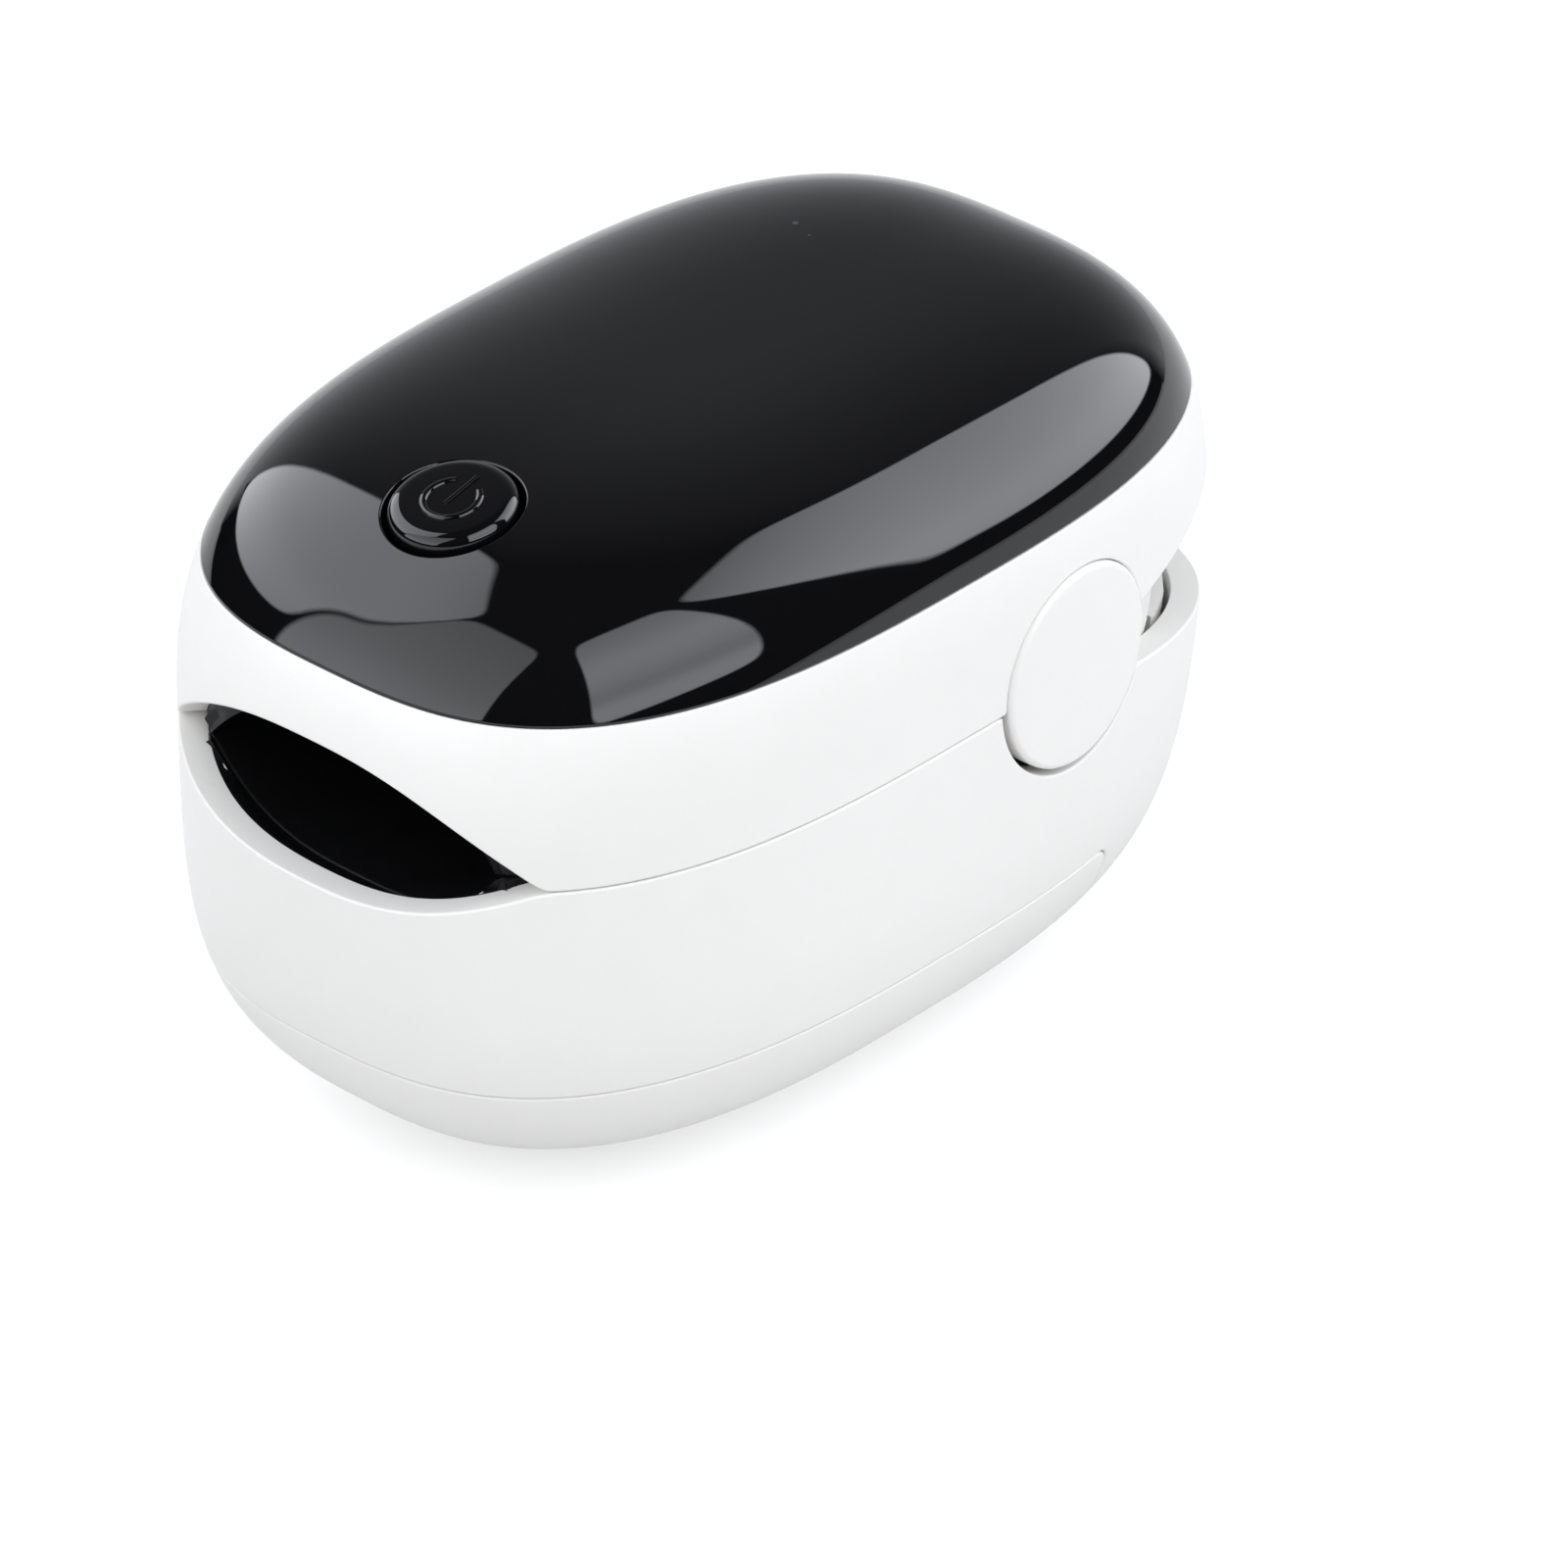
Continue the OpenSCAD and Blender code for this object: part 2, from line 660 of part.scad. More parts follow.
switch_top = 2.2;
module tact_switch() {
    color([0.25, 0.25, 0.27]) translate([0, button_y + 0.4, board_z + board_t]) {
        translate([-2.2, -2.2, 0]) cube([4.4, 4.4, 1.8]);
        cylinder(r = 1.1, h = switch_top);
    }
}

module board_screws() {
    color(steel) on_both_sides() for (p = board_screw_at)
        translate([p[0], p[1], board_screw_z]) screw(2.6);
}

module hinge_cap() {
    color(white) {
        intersection() {
            hinge_disc(cap_r, cap_in + 0.6, body_w);
            difference() {
                pebble(-0.2, 14, 28, 4);
                pebble(cap_plate_t, 13, 29, 4);
            }
        }
        hinge_disc(2.2, cap_in, body_w / 2 - 1);
    }
}

module hinge_pin() {
    color(steel) {
        hinge_disc(pin_r, spring_in - 0.6, cap_in);
        hinge_disc(1.7, spring_in - 0.9, spring_in - 0.4);
    }
}

// a flat ribbon that lies in the tray's groove, climbs past the hinge and ends in its connector
module ribbon_cable() {
    top = board_z + board_t + 0.5;
    t = ribbon_t;
    color([0.75, 0.45, 0.15]) along_x(-ribbon_w / 2, ribbon_w / 2) polygon([
        [sensor_y + 3.1, ribbon_z], [ribbon_y + t, ribbon_z], [ribbon_y + t, top - t],
        [ribbon_y + 1.6, top - t], [ribbon_y + 1.6, top], [ribbon_y, top], [ribbon_y, ribbon_z + t],
        [sensor_y + 3.1, ribbon_z + t]
    ]);
}

module ribbon_connector() {
    color([0.88, 0.85, 0.76]) difference() {
        translate([-4.2, ribbon_y + 0.9, board_z + board_t]) cube([8.4, 2.4, 1.1]);
        translate([-ribbon_w / 2 - 0.1, ribbon_y + 0.5, board_z + board_t + 0.22])
            cube([ribbon_w + 0.2, 1.3, 0.36]);
    }
}

// ---- the power button ----

module power_button() {
    r = button_hole_r - button_gap;
    flange_z = -lens_t - 1.2;
    // the stem ends just over the switch, a little more than the travel away
    stem = (button_z - board_z - board_t - switch_top) / cos(button_tilt) - button_travel - 0.4;
    color(black) at_button() {
        translate([0, 0, flange_z]) cylinder(r = r, h = -flange_z);
        cylinder(r1 = r, r2 = r - 0.3, h = 0.2);
        translate([0, 0, flange_z]) cylinder(r = button_hole_r + 0.5, h = 0.7);
        translate([0, 0, -stem]) cylinder(r = 1.2, h = stem);
    }
}

lower_shell();
lower_frame();
lower_finger_pad();
sensor_board();
photodiode();
battery_cell();
battery_contact_front();
battery_contact_rear();
frame_screws();
mirror([1, 0, 0]) torsion_spring();  // torsion_spring_left
torsion_spring();  // torsion_spring_right
battery_cover();
upper_shell();
display_lens();
upper_frame();
upper_finger_pad();
led_emitter();
main_board();
display_module();
processor_chip();
tact_switch();
board_screws();
mirror([1, 0, 0]) hinge_cap();  // hinge_cap_left
hinge_cap();  // hinge_cap_right
mirror([1, 0, 0]) hinge_pin();  // hinge_pin_left
hinge_pin();  // hinge_pin_right
ribbon_cable();
ribbon_connector();
power_button();
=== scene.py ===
# %% [markdown]
# # A fingertip pulse oximeter
# The object is a small pebble that opens like a clothes peg: two white half shells, a glossy black dome
# on top, a round button in the dome, round caps over the hinge and a battery cover under the belly.
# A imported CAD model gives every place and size. This script adds the looks: each outer part is drawn again
# as a fine mesh with rounded edges, and every part gets a material made of shader nodes.

import json

import bmesh
import bpy
import numpy as np
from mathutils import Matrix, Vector
from mathutils.geometry import delaunay_2d_cdt

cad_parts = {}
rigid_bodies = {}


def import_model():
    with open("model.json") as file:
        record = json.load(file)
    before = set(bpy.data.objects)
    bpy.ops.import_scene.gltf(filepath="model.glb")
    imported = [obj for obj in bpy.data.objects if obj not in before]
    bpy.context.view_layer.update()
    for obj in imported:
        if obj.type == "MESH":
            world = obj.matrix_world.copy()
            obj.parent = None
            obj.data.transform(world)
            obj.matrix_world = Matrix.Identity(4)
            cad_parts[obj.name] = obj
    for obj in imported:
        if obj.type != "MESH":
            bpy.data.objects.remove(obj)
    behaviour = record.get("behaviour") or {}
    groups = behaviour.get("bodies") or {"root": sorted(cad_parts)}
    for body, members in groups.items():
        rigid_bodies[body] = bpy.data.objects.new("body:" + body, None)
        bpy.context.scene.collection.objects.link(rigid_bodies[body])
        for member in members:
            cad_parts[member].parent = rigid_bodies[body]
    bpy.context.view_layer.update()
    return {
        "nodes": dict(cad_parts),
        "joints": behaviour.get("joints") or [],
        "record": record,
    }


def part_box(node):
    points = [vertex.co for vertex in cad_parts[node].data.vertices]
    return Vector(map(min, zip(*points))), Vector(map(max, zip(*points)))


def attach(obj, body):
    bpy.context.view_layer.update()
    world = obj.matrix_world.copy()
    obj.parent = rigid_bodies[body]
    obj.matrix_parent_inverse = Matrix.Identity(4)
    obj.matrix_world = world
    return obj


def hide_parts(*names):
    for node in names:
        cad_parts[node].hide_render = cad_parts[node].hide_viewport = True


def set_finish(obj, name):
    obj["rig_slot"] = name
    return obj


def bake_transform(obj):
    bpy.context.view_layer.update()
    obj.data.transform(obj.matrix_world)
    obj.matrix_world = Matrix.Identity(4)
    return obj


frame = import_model()
MM = 0.001


def size_mm(node):
    """Lowest and highest corner of a CAD node, in millimetres."""
    low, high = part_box(node)
    return np.array(low) / MM, np.array(high) / MM


# %% [markdown]
# ## Driving sizes
# Nothing is measured twice. The body's width, length and height, the heights of the three seams and the
# hinge's place are all read from the frame. Only how the pebble curves between them is written here.

# %% Sizes from the frame
joints = {j["name"]: j for j in frame["joints"]}
lower_low, lower_high = size_mm("lower_shell")
upper_low, upper_high = size_mm("upper_shell")
lens_high = size_mm("display_lens")[1]
cover_high = size_mm("battery_cover")[1]
BODY_W = upper_high[0] - upper_low[0]
BODY_L = -2 * lower_low[1]
BODY_H = lens_high[2]
SEAM_Z = (lower_high[2] + upper_low[2]) / 2
LENS_Z = upper_high[2]
COVER_GAP = 0.15
COVER_Z = cover_high[2] + COVER_GAP
COVER_END = cover_high[1] + COVER_GAP
HINGE_Y, HINGE_Z = (v / MM for v in joints["clip_hinge"]["pos_m"][1:])
print(f"body {BODY_W:.1f} x {BODY_L:.1f} x {BODY_H:.1f} mm")
print(f"seams at {COVER_Z:.1f}, {SEAM_Z:.1f}, {LENS_Z:.1f} mm")
print(f"cover ends at y {COVER_END:.1f}, hinge at y {HINGE_Y:.1f} z {HINGE_Z:.1f}")

# %% [markdown]
# ## The pebble's form
# A level cut through the pebble is a superellipse, a shape between an ellipse and a rectangle. Its two
# widths shrink towards the top and the ground by a power curve. One formula then gives any point of the
# skin from a direction and a height, so every part that lies on the skin shares it and all seams fit.

# %% How the pebble curves
BELT_Z = 22.0
FLAT_CUT = 0.3
PLAN_POWER = 2.85
POWER_DROP = 0.25
APEX_SHIFT = 1.8
SIDE_TOP, SIDE_LOW = (4.4, 3.25), (5.1, 2.35)
FRONT_TOP, FRONT_LOW = (2.35, 3.95), (4.7, 3.25)
REAR_TOP, REAR_LOW = (1.9, 6.9), (1.4, 9.0)
FLAT_SPAN = 10.0  # heights below zero stand for the flat belly, down to its middle


def fall(t, curve):
    return np.maximum(0, 1 - np.clip(t, 0, 1) ** curve[0]) ** (1 / curve[1])


def level(z):
    """Half width, middle, front reach, rear reach and outline power at heights z."""
    z = np.asarray(z, float)
    above = z >= BELT_Z
    t = np.where(above, (z - BELT_Z) / (BODY_H - BELT_Z), (BELT_Z - z) / (BELT_Z + FLAT_CUT))
    shift = np.where(above, APEX_SHIFT * t * t, 0)
    width = BODY_W / 2 * np.where(above, fall(t, SIDE_TOP), fall(t, SIDE_LOW))
    front = (BODY_L / 2 + shift) * np.where(above, fall(t, FRONT_TOP), fall(t, FRONT_LOW))
    rear = (BODY_L / 2 - shift) * np.where(above, fall(t, REAR_TOP), fall(t, REAR_LOW))
    return width, shift, front, rear, PLAN_POWER - np.where(above, 0, POWER_DROP * t * t)


def stretch(turn, power):
    """How far the unit superellipse reaches in a direction."""
    return (np.abs(np.cos(turn)) ** power + np.abs(np.sin(turn)) ** power) ** (-1 / power)


def skin(turn, z):
    """Points of the pebble's skin. Turn 0 looks along +X, and a quarter turn is the rear."""
    turn, z = np.broadcast_arrays(np.asarray(turn, float), np.asarray(z, float))
    width, shift, front, rear, power = level(np.maximum(z, 0))
    k = stretch(turn, power) * (1 + np.minimum(z, 0) / FLAT_SPAN)
    reach = np.where(np.sin(turn) < 0, front, rear)
    return np.stack([width * k * np.cos(turn), shift + reach * k * np.sin(turn), np.maximum(z, 0)], -1)


print("widest point", np.round(skin(0, BELT_Z), 2), "rear", np.round(skin(np.pi / 2, BELT_Z), 2))

# %% [markdown]
# ## A chart of the skin
# Cutting parts out of a curved skin is easier on a flat map. The map used here looks at the pebble from
# one pole and keeps distances from that pole, as a polar map of the earth does. Upper parts are mapped
# from the top and lower parts from the belly.

# %% The chart
bend = np.radians(np.linspace(-90, 90, 700))
rise = np.where(bend < 0, BELT_Z + FLAT_CUT, BODY_H - BELT_Z) * np.sin(bend) + BELT_Z
HEIGHTS = np.concatenate([np.linspace(-FLAT_SPAN, 0, 12), rise[rise > 1e-6]])
HEIGHTS[-1] = BODY_H


def arc_lengths(turn):
    points = skin(turn, HEIGHTS)
    return np.concatenate([[0], np.cumsum(np.linalg.norm(np.diff(points, axis=0), axis=1))])


side_arc, front_arc, rear_arc = (arc_lengths(np.radians(a)) for a in (0, -90, 90))
belt_index = int(np.searchsorted(HEIGHTS, BELT_Z))
CHARTS = {}
for chart_name in ("top", "belly"):
    spans = [s[-1] - s if chart_name == "top" else s for s in (side_arc, front_arc, rear_arc)]
    share = sum(s / s[belt_index] for s in spans) / 3
    CHARTS[chart_name] = (share, spans[0][belt_index], (spans[1][belt_index] + spans[2][belt_index]) / 2)


def skin_chart(turn, z, pole):
    share, half_w, half_l = CHARTS[pole]
    g = np.interp(z, HEIGHTS, share) * stretch(turn, level(np.maximum(z, 0))[4])
    flip = 1 if pole == "top" else -1
    return np.stack([flip * half_w * g * np.cos(turn), half_l * g * np.sin(turn)], -1)


def chart_rings(pole, step, z_from, z_to):
    """Evenly spread points between two heights, as rings on the chart."""
    share, half_w, half_l = CHARTS[pole]
    g_low, g_high = sorted(np.interp([z_from, z_to], HEIGHTS, share))
    girth = np.hypot(half_w, half_l) / np.sqrt(2)
    order = np.argsort(share)
    turns, heights = [], []
    for i, g in enumerate(np.arange(max(g_low, step / girth), g_high, step / girth)):
        count = max(8, int(2 * np.pi * girth * g / step))
        turns.append((np.arange(count) + 0.5 * (i % 2)) * 2 * np.pi / count - np.pi / 2)
        heights.append(np.full(count, np.interp(g, share[order], HEIGHTS[order])))
    return np.concatenate(turns), np.concatenate(heights)


print("chart sizes", {k: (round(float(v[1]), 1), round(float(v[2]), 1)) for k, v in CHARTS.items()})

# %% [markdown]
# ## Sheets with rounded edges
# Moulded plastic has no sharp edges: each rim rolls over in a small radius, and that bead is what
# catches the light along a seam. A sheet is made in three steps. The chart is filled with triangles
# between its edge loops, the triangles are lifted onto the real surface with exact normals, and each
# edge loop is rolled over and carried down to an inner skin, so that the part is a closed solid.


# %% Mesh helpers
def unit(v):
    return v / np.maximum(np.linalg.norm(v, axis=-1, keepdims=True), 1e-12)


def new_piece(name, points, faces, normals=None):
    mesh = bpy.data.meshes.new(name)
    mesh.from_pydata([tuple(p) for p in np.asarray(points) * MM], [], [tuple(map(int, f)) for f in faces])
    mesh.polygons.foreach_set("use_smooth", [True] * len(mesh.polygons))
    if normals is not None:
        mesh.normals_split_custom_set_from_vertices([tuple(n) for n in normals])
    piece = bpy.data.objects.new(name, mesh)
    bpy.context.collection.objects.link(piece)
    print(f"{name}: {len(mesh.vertices)} points, {len(mesh.polygons)} faces")
    return piece


def even_steps(place, p, q, spacing):
    """Walks one stretch of an edge again in equal steps along its real length."""
    walked = np.concatenate([[0], np.cumsum(np.linalg.norm(np.diff(place(p, q), axis=0), axis=1))])
    at = np.linspace(0, walked[-1], max(2, int(round(walked[-1] / spacing)) + 1))
    return np.interp(at, walked, p), np.interp(at, walked, q)


def join_stretches(place, stretches, spacing=0.3):
    """Stretches of an edge, end to end, each stepped evenly; corners between them stay."""
    parts = [even_steps(place, p, q, spacing) for p, q in stretches]
    return tuple(np.concatenate([part[k][:-1] for part in parts]) for k in (0, 1))


def inside(points, loops):
    """True for chart points that lie inside the loops."""
    result = np.zeros(len(points), bool)
    for loop in loops:
        x0, y0 = loop.T
        x1, y1 = np.roll(loop, -1, 0).T
        for start in range(0, len(points), 4000):
            px, py = points[start : start + 4000, 0:1], points[start : start + 4000, 1:2]
            crosses = ((y0 > py) != (y1 > py)) & (px < (x1 - x0) * (py - y0) / (y1 - y0 + 1e-15) + x0)
            result[start : start + 4000] ^= crosses.sum(1) % 2 == 1
    return result


def nearest(points, others):
    """Distance from each point to the closest of the others."""
    found = [
        np.sqrt(((points[i : i + 2000, None] - others[None]) ** 2).sum(-1).min(1))
        for i in range(0, len(points), 2000)
    ]
    return np.concatenate(found)


# %% Directions on a surface
STEP = 1e-4


def tangents(place, p, q):
    """How a surface point moves with each of its two coordinates."""
    along_p = (place(p + STEP, q) - place(p - STEP, q)) / (2 * STEP)
    return along_p, (place(p, q + STEP) - place(p, q - STEP)) / (2 * STEP)


def facing(place, chart, p, q):
    """Normals of the surface, on the side from which the chart is seen."""
    dp, dq = tangents(place, p, q)
    cp, cq = (chart(p + STEP, q) - chart(p - STEP, q)), (chart(p, q + STEP) - chart(p, q - STEP))
    turned_over = np.sign(cp[..., 0] * cq[..., 1] - cp[..., 1] * cq[..., 0])
    return unit(np.cross(dp, dq)) * turned_over[..., None]


# %% Rims, moved in to leave room for the bead
def area(flat):
    x, y = flat.T
    return (x * np.roll(y, -1) - np.roll(x, -1) * y).sum() / 2


def inset_rims(place, chart, loops, roll):
    """Each loop's coordinates one bead further in, with its outward and normal directions."""
    areas = [area(chart(*loop)) for loop in loops]
    outer = int(np.argmax(np.abs(areas)))
    rims = []
    for i, (p, q) in enumerate(loops):
        if (areas[i] > 0) != (i == outer):
            p, q = p[::-1], q[::-1]
        points, normals = place(p, q), facing(place, chart, p, q)
        ahead = unit(np.roll(points, -1, 0) - points) + unit(points - np.roll(points, 1, 0))
        out = unit(np.cross(ahead, normals))
        dp, dq = tangents(place, p, q)
        a, b, c = (dp * dp).sum(-1), (dp * dq).sum(-1), (dq * dq).sum(-1)
        u, v = (dp * -roll * out).sum(-1), (dq * -roll * out).sum(-1)
        det = a * c - b * b
        rims.append((p + (c * u - b * v) / det, q + (a * v - b * u) / det, out, normals))
    return rims


# %% Filling a chart with triangles
def fill_chart(flat, starts, flats):
    """Triangles between the edge loops, all seen from the chart's front."""
    edges = [
        (s + k, s + (k + 1) % (e - s)) for s, e in zip(starts[:-1], starts[1:]) for k in range(e - s)
    ]
    _, _, triangles, came_from, _, _ = delaunay_2d_cdt([Vector(v) for v in flat], edges, [], 0, 1e-7)
    came_from = [c[0] if c else -1 for c in came_from]
    triangles = np.array([[came_from[v] for v in t] for t in triangles])
    triangles = triangles[(triangles >= 0).all(1)]
    corner = flat[triangles]
    turned_over = np.cross(corner[:, 1] - corner[:, 0], corner[:, 2] - corner[:, 0])
    triangles = triangles[(np.abs(turned_over) > 1e-9) & inside(corner.mean(1), flats)]
    turned_over = np.cross(*(flat[triangles[:, k]] - flat[triangles[:, 0]] for k in (1, 2)))
    triangles[turned_over < 0] = triangles[turned_over < 0][:, ::-1]
    return triangles


# %% Closing the sheet
BEAD_ANGLES = np.radians([22.5, 45, 67.5, 90])


def sheet(place, chart, loops, fill, thick, roll, step, lift=0.0):
    """Points, faces and normals of a closed sheet. Place gives real points and chart flat ones."""
    rims = inset_rims(place, chart, loops, roll)
    flats = [chart(r[0], r[1]) for r in rims]
    keep = inside(chart(*fill), flats)
    fill = fill[0][keep], fill[1][keep]
    keep = nearest(chart(*fill), np.concatenate(flats)) > 0.55 * step
    p, q = (np.concatenate([r[k] for r in rims] + [fill[k][keep]]) for k in (0, 1))
    starts = np.cumsum([0] + [len(r[0]) for r in rims])
    triangles = fill_chart(chart(p, q), starts, flats)

    normal = facing(place, chart, p, q)
    top = place(p, q) + lift * normal
    points, normals = [top, top - thick * normal], [normal, -normal]
    n = len(top)
    faces = [tuple(t) for t in triangles] + [tuple(n + v for v in t[::-1]) for t in triangles]
    count = 2 * n
    for s, e, (_p, _q, out, up) in zip(starts[:-1], starts[1:], rims):
        base, rows = top[s:e], [np.arange(s, e)]
        for angle in BEAD_ANGLES:
            points.append(base + roll * (np.sin(angle) * out - (1 - np.cos(angle)) * up))
            normals.append(unit(np.cos(angle) * up + np.sin(angle) * out))
            rows.append(count + np.arange(e - s))
            count += e - s
        points.append(base + roll * out - (thick - roll * 0.5) * up)
        normals.append(out)
        rows += [count + np.arange(e - s), n + np.arange(s, e)]
        count += e - s
        for low, high in zip(rows[:-1], rows[1:]):
            faces += list(zip(low, high, np.roll(high, -1), np.roll(low, -1)))
    return np.concatenate(points), faces, np.concatenate(normals)


# %% Parts of the skin
def skin_sheet(pole, loops, thick, roll, step, z_from, z_to):
    """A sheet that lies on the pebble's skin, between two heights."""

    def chart(turn, z):
        return skin_chart(turn, z, pole)

    return sheet(skin, chart, loops, chart_rings(pole, step, z_from, z_to), thick, roll, step)


def join_open(stretches):
    """Stretches of an edge end to end, as they are."""
    return tuple(np.concatenate([s[k] for s in stretches]) for k in (0, 1))


def both_sides(turn, z):
    """A right-hand edge from the front to the rear, made whole with its mirror image."""
    return np.concatenate([turn, (np.pi - turn)[::-1]]), np.concatenate([z, z[::-1]])


def edge_on_skin(stretches):
    return join_stretches(skin, [both_sides(*join_open(stretches))])


# %% [markdown]
# ## The seam lines
# The seams are drawn on the right side, from the middle of the front to the middle of the rear. Where a
# seam is a height that depends on the place, a few rounds of looking up the place and the height again
# settle it. The arch of the mouth and its lower rim run out into the seam through a small soft corner.

# %% Seams between the halves
SEAM_HALF = 0.03
WALL = 1.5
MOUTH_R, MOUTH_RISE, MOUTH_DROP = 12.0, 5.0, 2.6
CAP_R = (size_mm("hinge_cap_right")[1][1] - size_mm("hinge_cap_right")[0][1]) / 2
RECESS_R = CAP_R + 0.35
FRONT, REAR = -np.pi / 2, np.pi / 2


def soft(v, width=0.12):
    """Zero below zero and v above it, with a soft corner."""
    return width * np.log1p(np.exp(np.clip(v / width, -60, 60)))


def arch_z(x, y):
    return SEAM_Z + SEAM_HALF + soft(MOUTH_RISE * (1 - np.abs(x / MOUTH_R) ** 2.7))


def rim_z(x, y):
    return SEAM_Z - SEAM_HALF - soft(MOUTH_DROP * (1 - np.abs(x / MOUTH_R) ** 2.2))


def upper_rear_z(x, y):
    return HINGE_Z + (y - HINGE_Y) * np.tan(np.radians(12.5)) - 0.25


def lower_rear_z(x, y):
    return HINGE_Z - 1.6 - (y - HINGE_Y) * np.tan(np.radians(9.5))


def follow(height, turn_from, turn_to, count=220):
    """The edge where the skin is at the height that a rule gives."""
    turn = np.linspace(turn_from, turn_to, count)
    z = np.full(count, SEAM_Z)
    for _ in range(60):
        x, y, _z = skin(turn, z).T
        z = 0.5 * z + 0.5 * height(x, y)
    return turn, z


def turn_at(y, z):
    """The direction of the skin's right-hand point at length y and height z."""
    width, shift, front, rear, power = level(z)
    v = np.clip((y - shift) / np.where(y < shift, front, rear), -1, 1)
    return np.arctan2(v, np.maximum(0, 1 - np.abs(v) ** power) ** (1 / power))


def around_hinge(radius, way, z_start, height):
    """An arc round the hinge from the seam to the rear edge. Way is 1 over the top and -1 below."""
    phi = np.linspace(np.arcsin(way * (z_start - HINGE_Z) / radius), np.pi, 400)
    y, z = HINGE_Y - radius * np.cos(phi), HINGE_Z + way * radius * np.sin(phi)
    met = (phi > np.pi / 2) & (way * (z - height(0, y)) < 0)
    stop = int(np.argmax(met)) if met.any() else len(phi)
    y, z = y[:stop], z[:stop]
    return turn_at(y, z), z


over = around_hinge(CAP_R + 0.04, 1, SEAM_Z + SEAM_HALF, upper_rear_z)
under = around_hinge(RECESS_R, -1, SEAM_Z - SEAM_HALF, lower_rear_z)
upper_edge = edge_on_skin([follow(arch_z, FRONT, over[0][0]), over, follow(upper_rear_z, over[0][-1], REAR)])
lower_edge = edge_on_skin(
    [follow(rim_z, FRONT, under[0][0]), under, follow(lower_rear_z, under[0][-1], REAR)]
)
print("points on the edges:", len(upper_edge[0]), "upper,", len(lower_edge[0]), "lower")
print("cap radius", round(CAP_R, 2), "mm")

# %% [markdown]
# The battery cover's seam runs level round the front and the sides, turns down through a small round
# corner and crosses the belly. Heights below zero carry it over the flat part of the belly.


# %% The cover's seam
def cover_edge(shift, corner=1.0):
    z_level, y_end = COVER_Z + shift, COVER_END + shift
    flat_turn = np.linspace(FRONT, turn_at(y_end - corner, z_level), 200)
    bow = np.radians(np.linspace(90, 0, 14))
    y, z = y_end - corner + corner * np.cos(bow), z_level - corner + corner * np.sin(bow)
    z_down = np.linspace(z_level - corner, 0, 60)
    rim_turn = turn_at(y_end, 0.0)
    flat = np.linspace(rim_turn, REAR, 60)[1:]
    scale = y_end / skin(flat, 0.0)[:, 1]
    return edge_on_skin(
        [
            (flat_turn, np.full(200, z_level)),
            (turn_at(y, z), z),
            (turn_at(np.full(60, y_end), z_down), z_down),
            (flat, -FLAT_SPAN * (1 - scale)),
        ]
    )


COVER_HALF = 0.03
level_loop = np.linspace(0, 2 * np.pi, 1200)


def level_edge(z):
    return join_stretches(skin, [(level_loop + FRONT, np.full(len(level_loop), z))])


# %% Upper shell, lower shell and battery cover
upper_shell = new_piece(
    "casing_upper",
    *skin_sheet("top", [upper_edge, level_edge(LENS_Z - 0.01)], WALL, 0.14, 0.8, LENS_Z, 14),
)
lower_shell = new_piece(
    "casing_lower",
    *skin_sheet("belly", [lower_edge, cover_edge(COVER_HALF)], WALL, 0.14, 0.8, -FLAT_SPAN, SEAM_Z),
)
battery_cover = new_piece(
    "cover_battery", *skin_sheet("belly", [cover_edge(-COVER_HALF)], 1.2, 0.12, 0.8, -FLAT_SPAN, COVER_Z)
)
for piece, node, body in (
    (upper_shell, "upper_shell", "upper_half"),
    (lower_shell, "lower_shell", "lower_half"),
    (battery_cover, "battery_cover", "battery_cover"),
):
    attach(piece, body)
    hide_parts(node)
    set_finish(piece, "white_shell")

# %% [markdown]
# ## The black dome and its button
# The dome is the same skin above the lens seam, with a round hole for the button. The hole is cut square
# to the skin, so its edge is found by walking round the button's axis and dropping onto the skin.

# %% Dome
button_axis = -np.array(joints["button_press"]["axis"])
BUTTON_Y = -17.0
HOLE_R = 3.45


def dome_z(y):
    low, high = BELT_Z, BODY_H - 1e-6
    for _ in range(50):
        middle = (low + high) / 2
        _w, shift, front, _r, _p = level(middle)
        low, high = (middle, high) if shift - front < y else (low, middle)
    return middle


button_at = np.array([0, BUTTON_Y, dome_z(BUTTON_Y)])
button_side = np.array([1.0, 0, 0])
button_back = np.cross(button_axis, button_side)


def around_button(radius, count=90):
    phi = np.linspace(0, 2 * np.pi, count + 1)
    ring = button_at + radius * (np.cos(phi)[:, None] * button_side + np.sin(phi)[:, None] * button_back)
    low, high = np.full(count + 1, -3.0), np.full(count + 1, 1.0)
    for _ in range(50):
        middle = (low + high) / 2
        x, y, z = (ring + middle[:, None] * button_axis).T
        width, shift, front, rear, power = level(np.minimum(z, BODY_H - 1e-6))
        reach = np.where(y < shift, front, rear)
        outside = np.abs(x / width) ** power + np.abs((y - shift) / reach) ** power > 1
        outside |= z >= BODY_H - 1e-6
        low, high = np.where(outside, low, middle), np.where(outside, middle, high)
    return np.arctan2((y - shift) / reach, x / width), z


hole = tuple(v[:-1] for v in around_button(HOLE_R))
dome = new_piece(
    "dome_lens", *skin_sheet("top", [level_edge(LENS_Z + 0.01), hole], 1.4, 0.13, 0.5, BODY_H, LENS_Z)
)
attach(dome, "upper_half")
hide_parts("display_lens")
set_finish(dome, "black_lens")
print("button at", np.round(button_at, 2), "axis", np.round(button_axis, 3))

# %% [markdown]
# The button is turned like a chess piece: a profile swung round its axis, with a flat top, a wide soft
# chamfer and a flange underneath that keeps it from falling out. The power sign on top is a raised
# broken ring with a bar, the generic sign found on any switch.


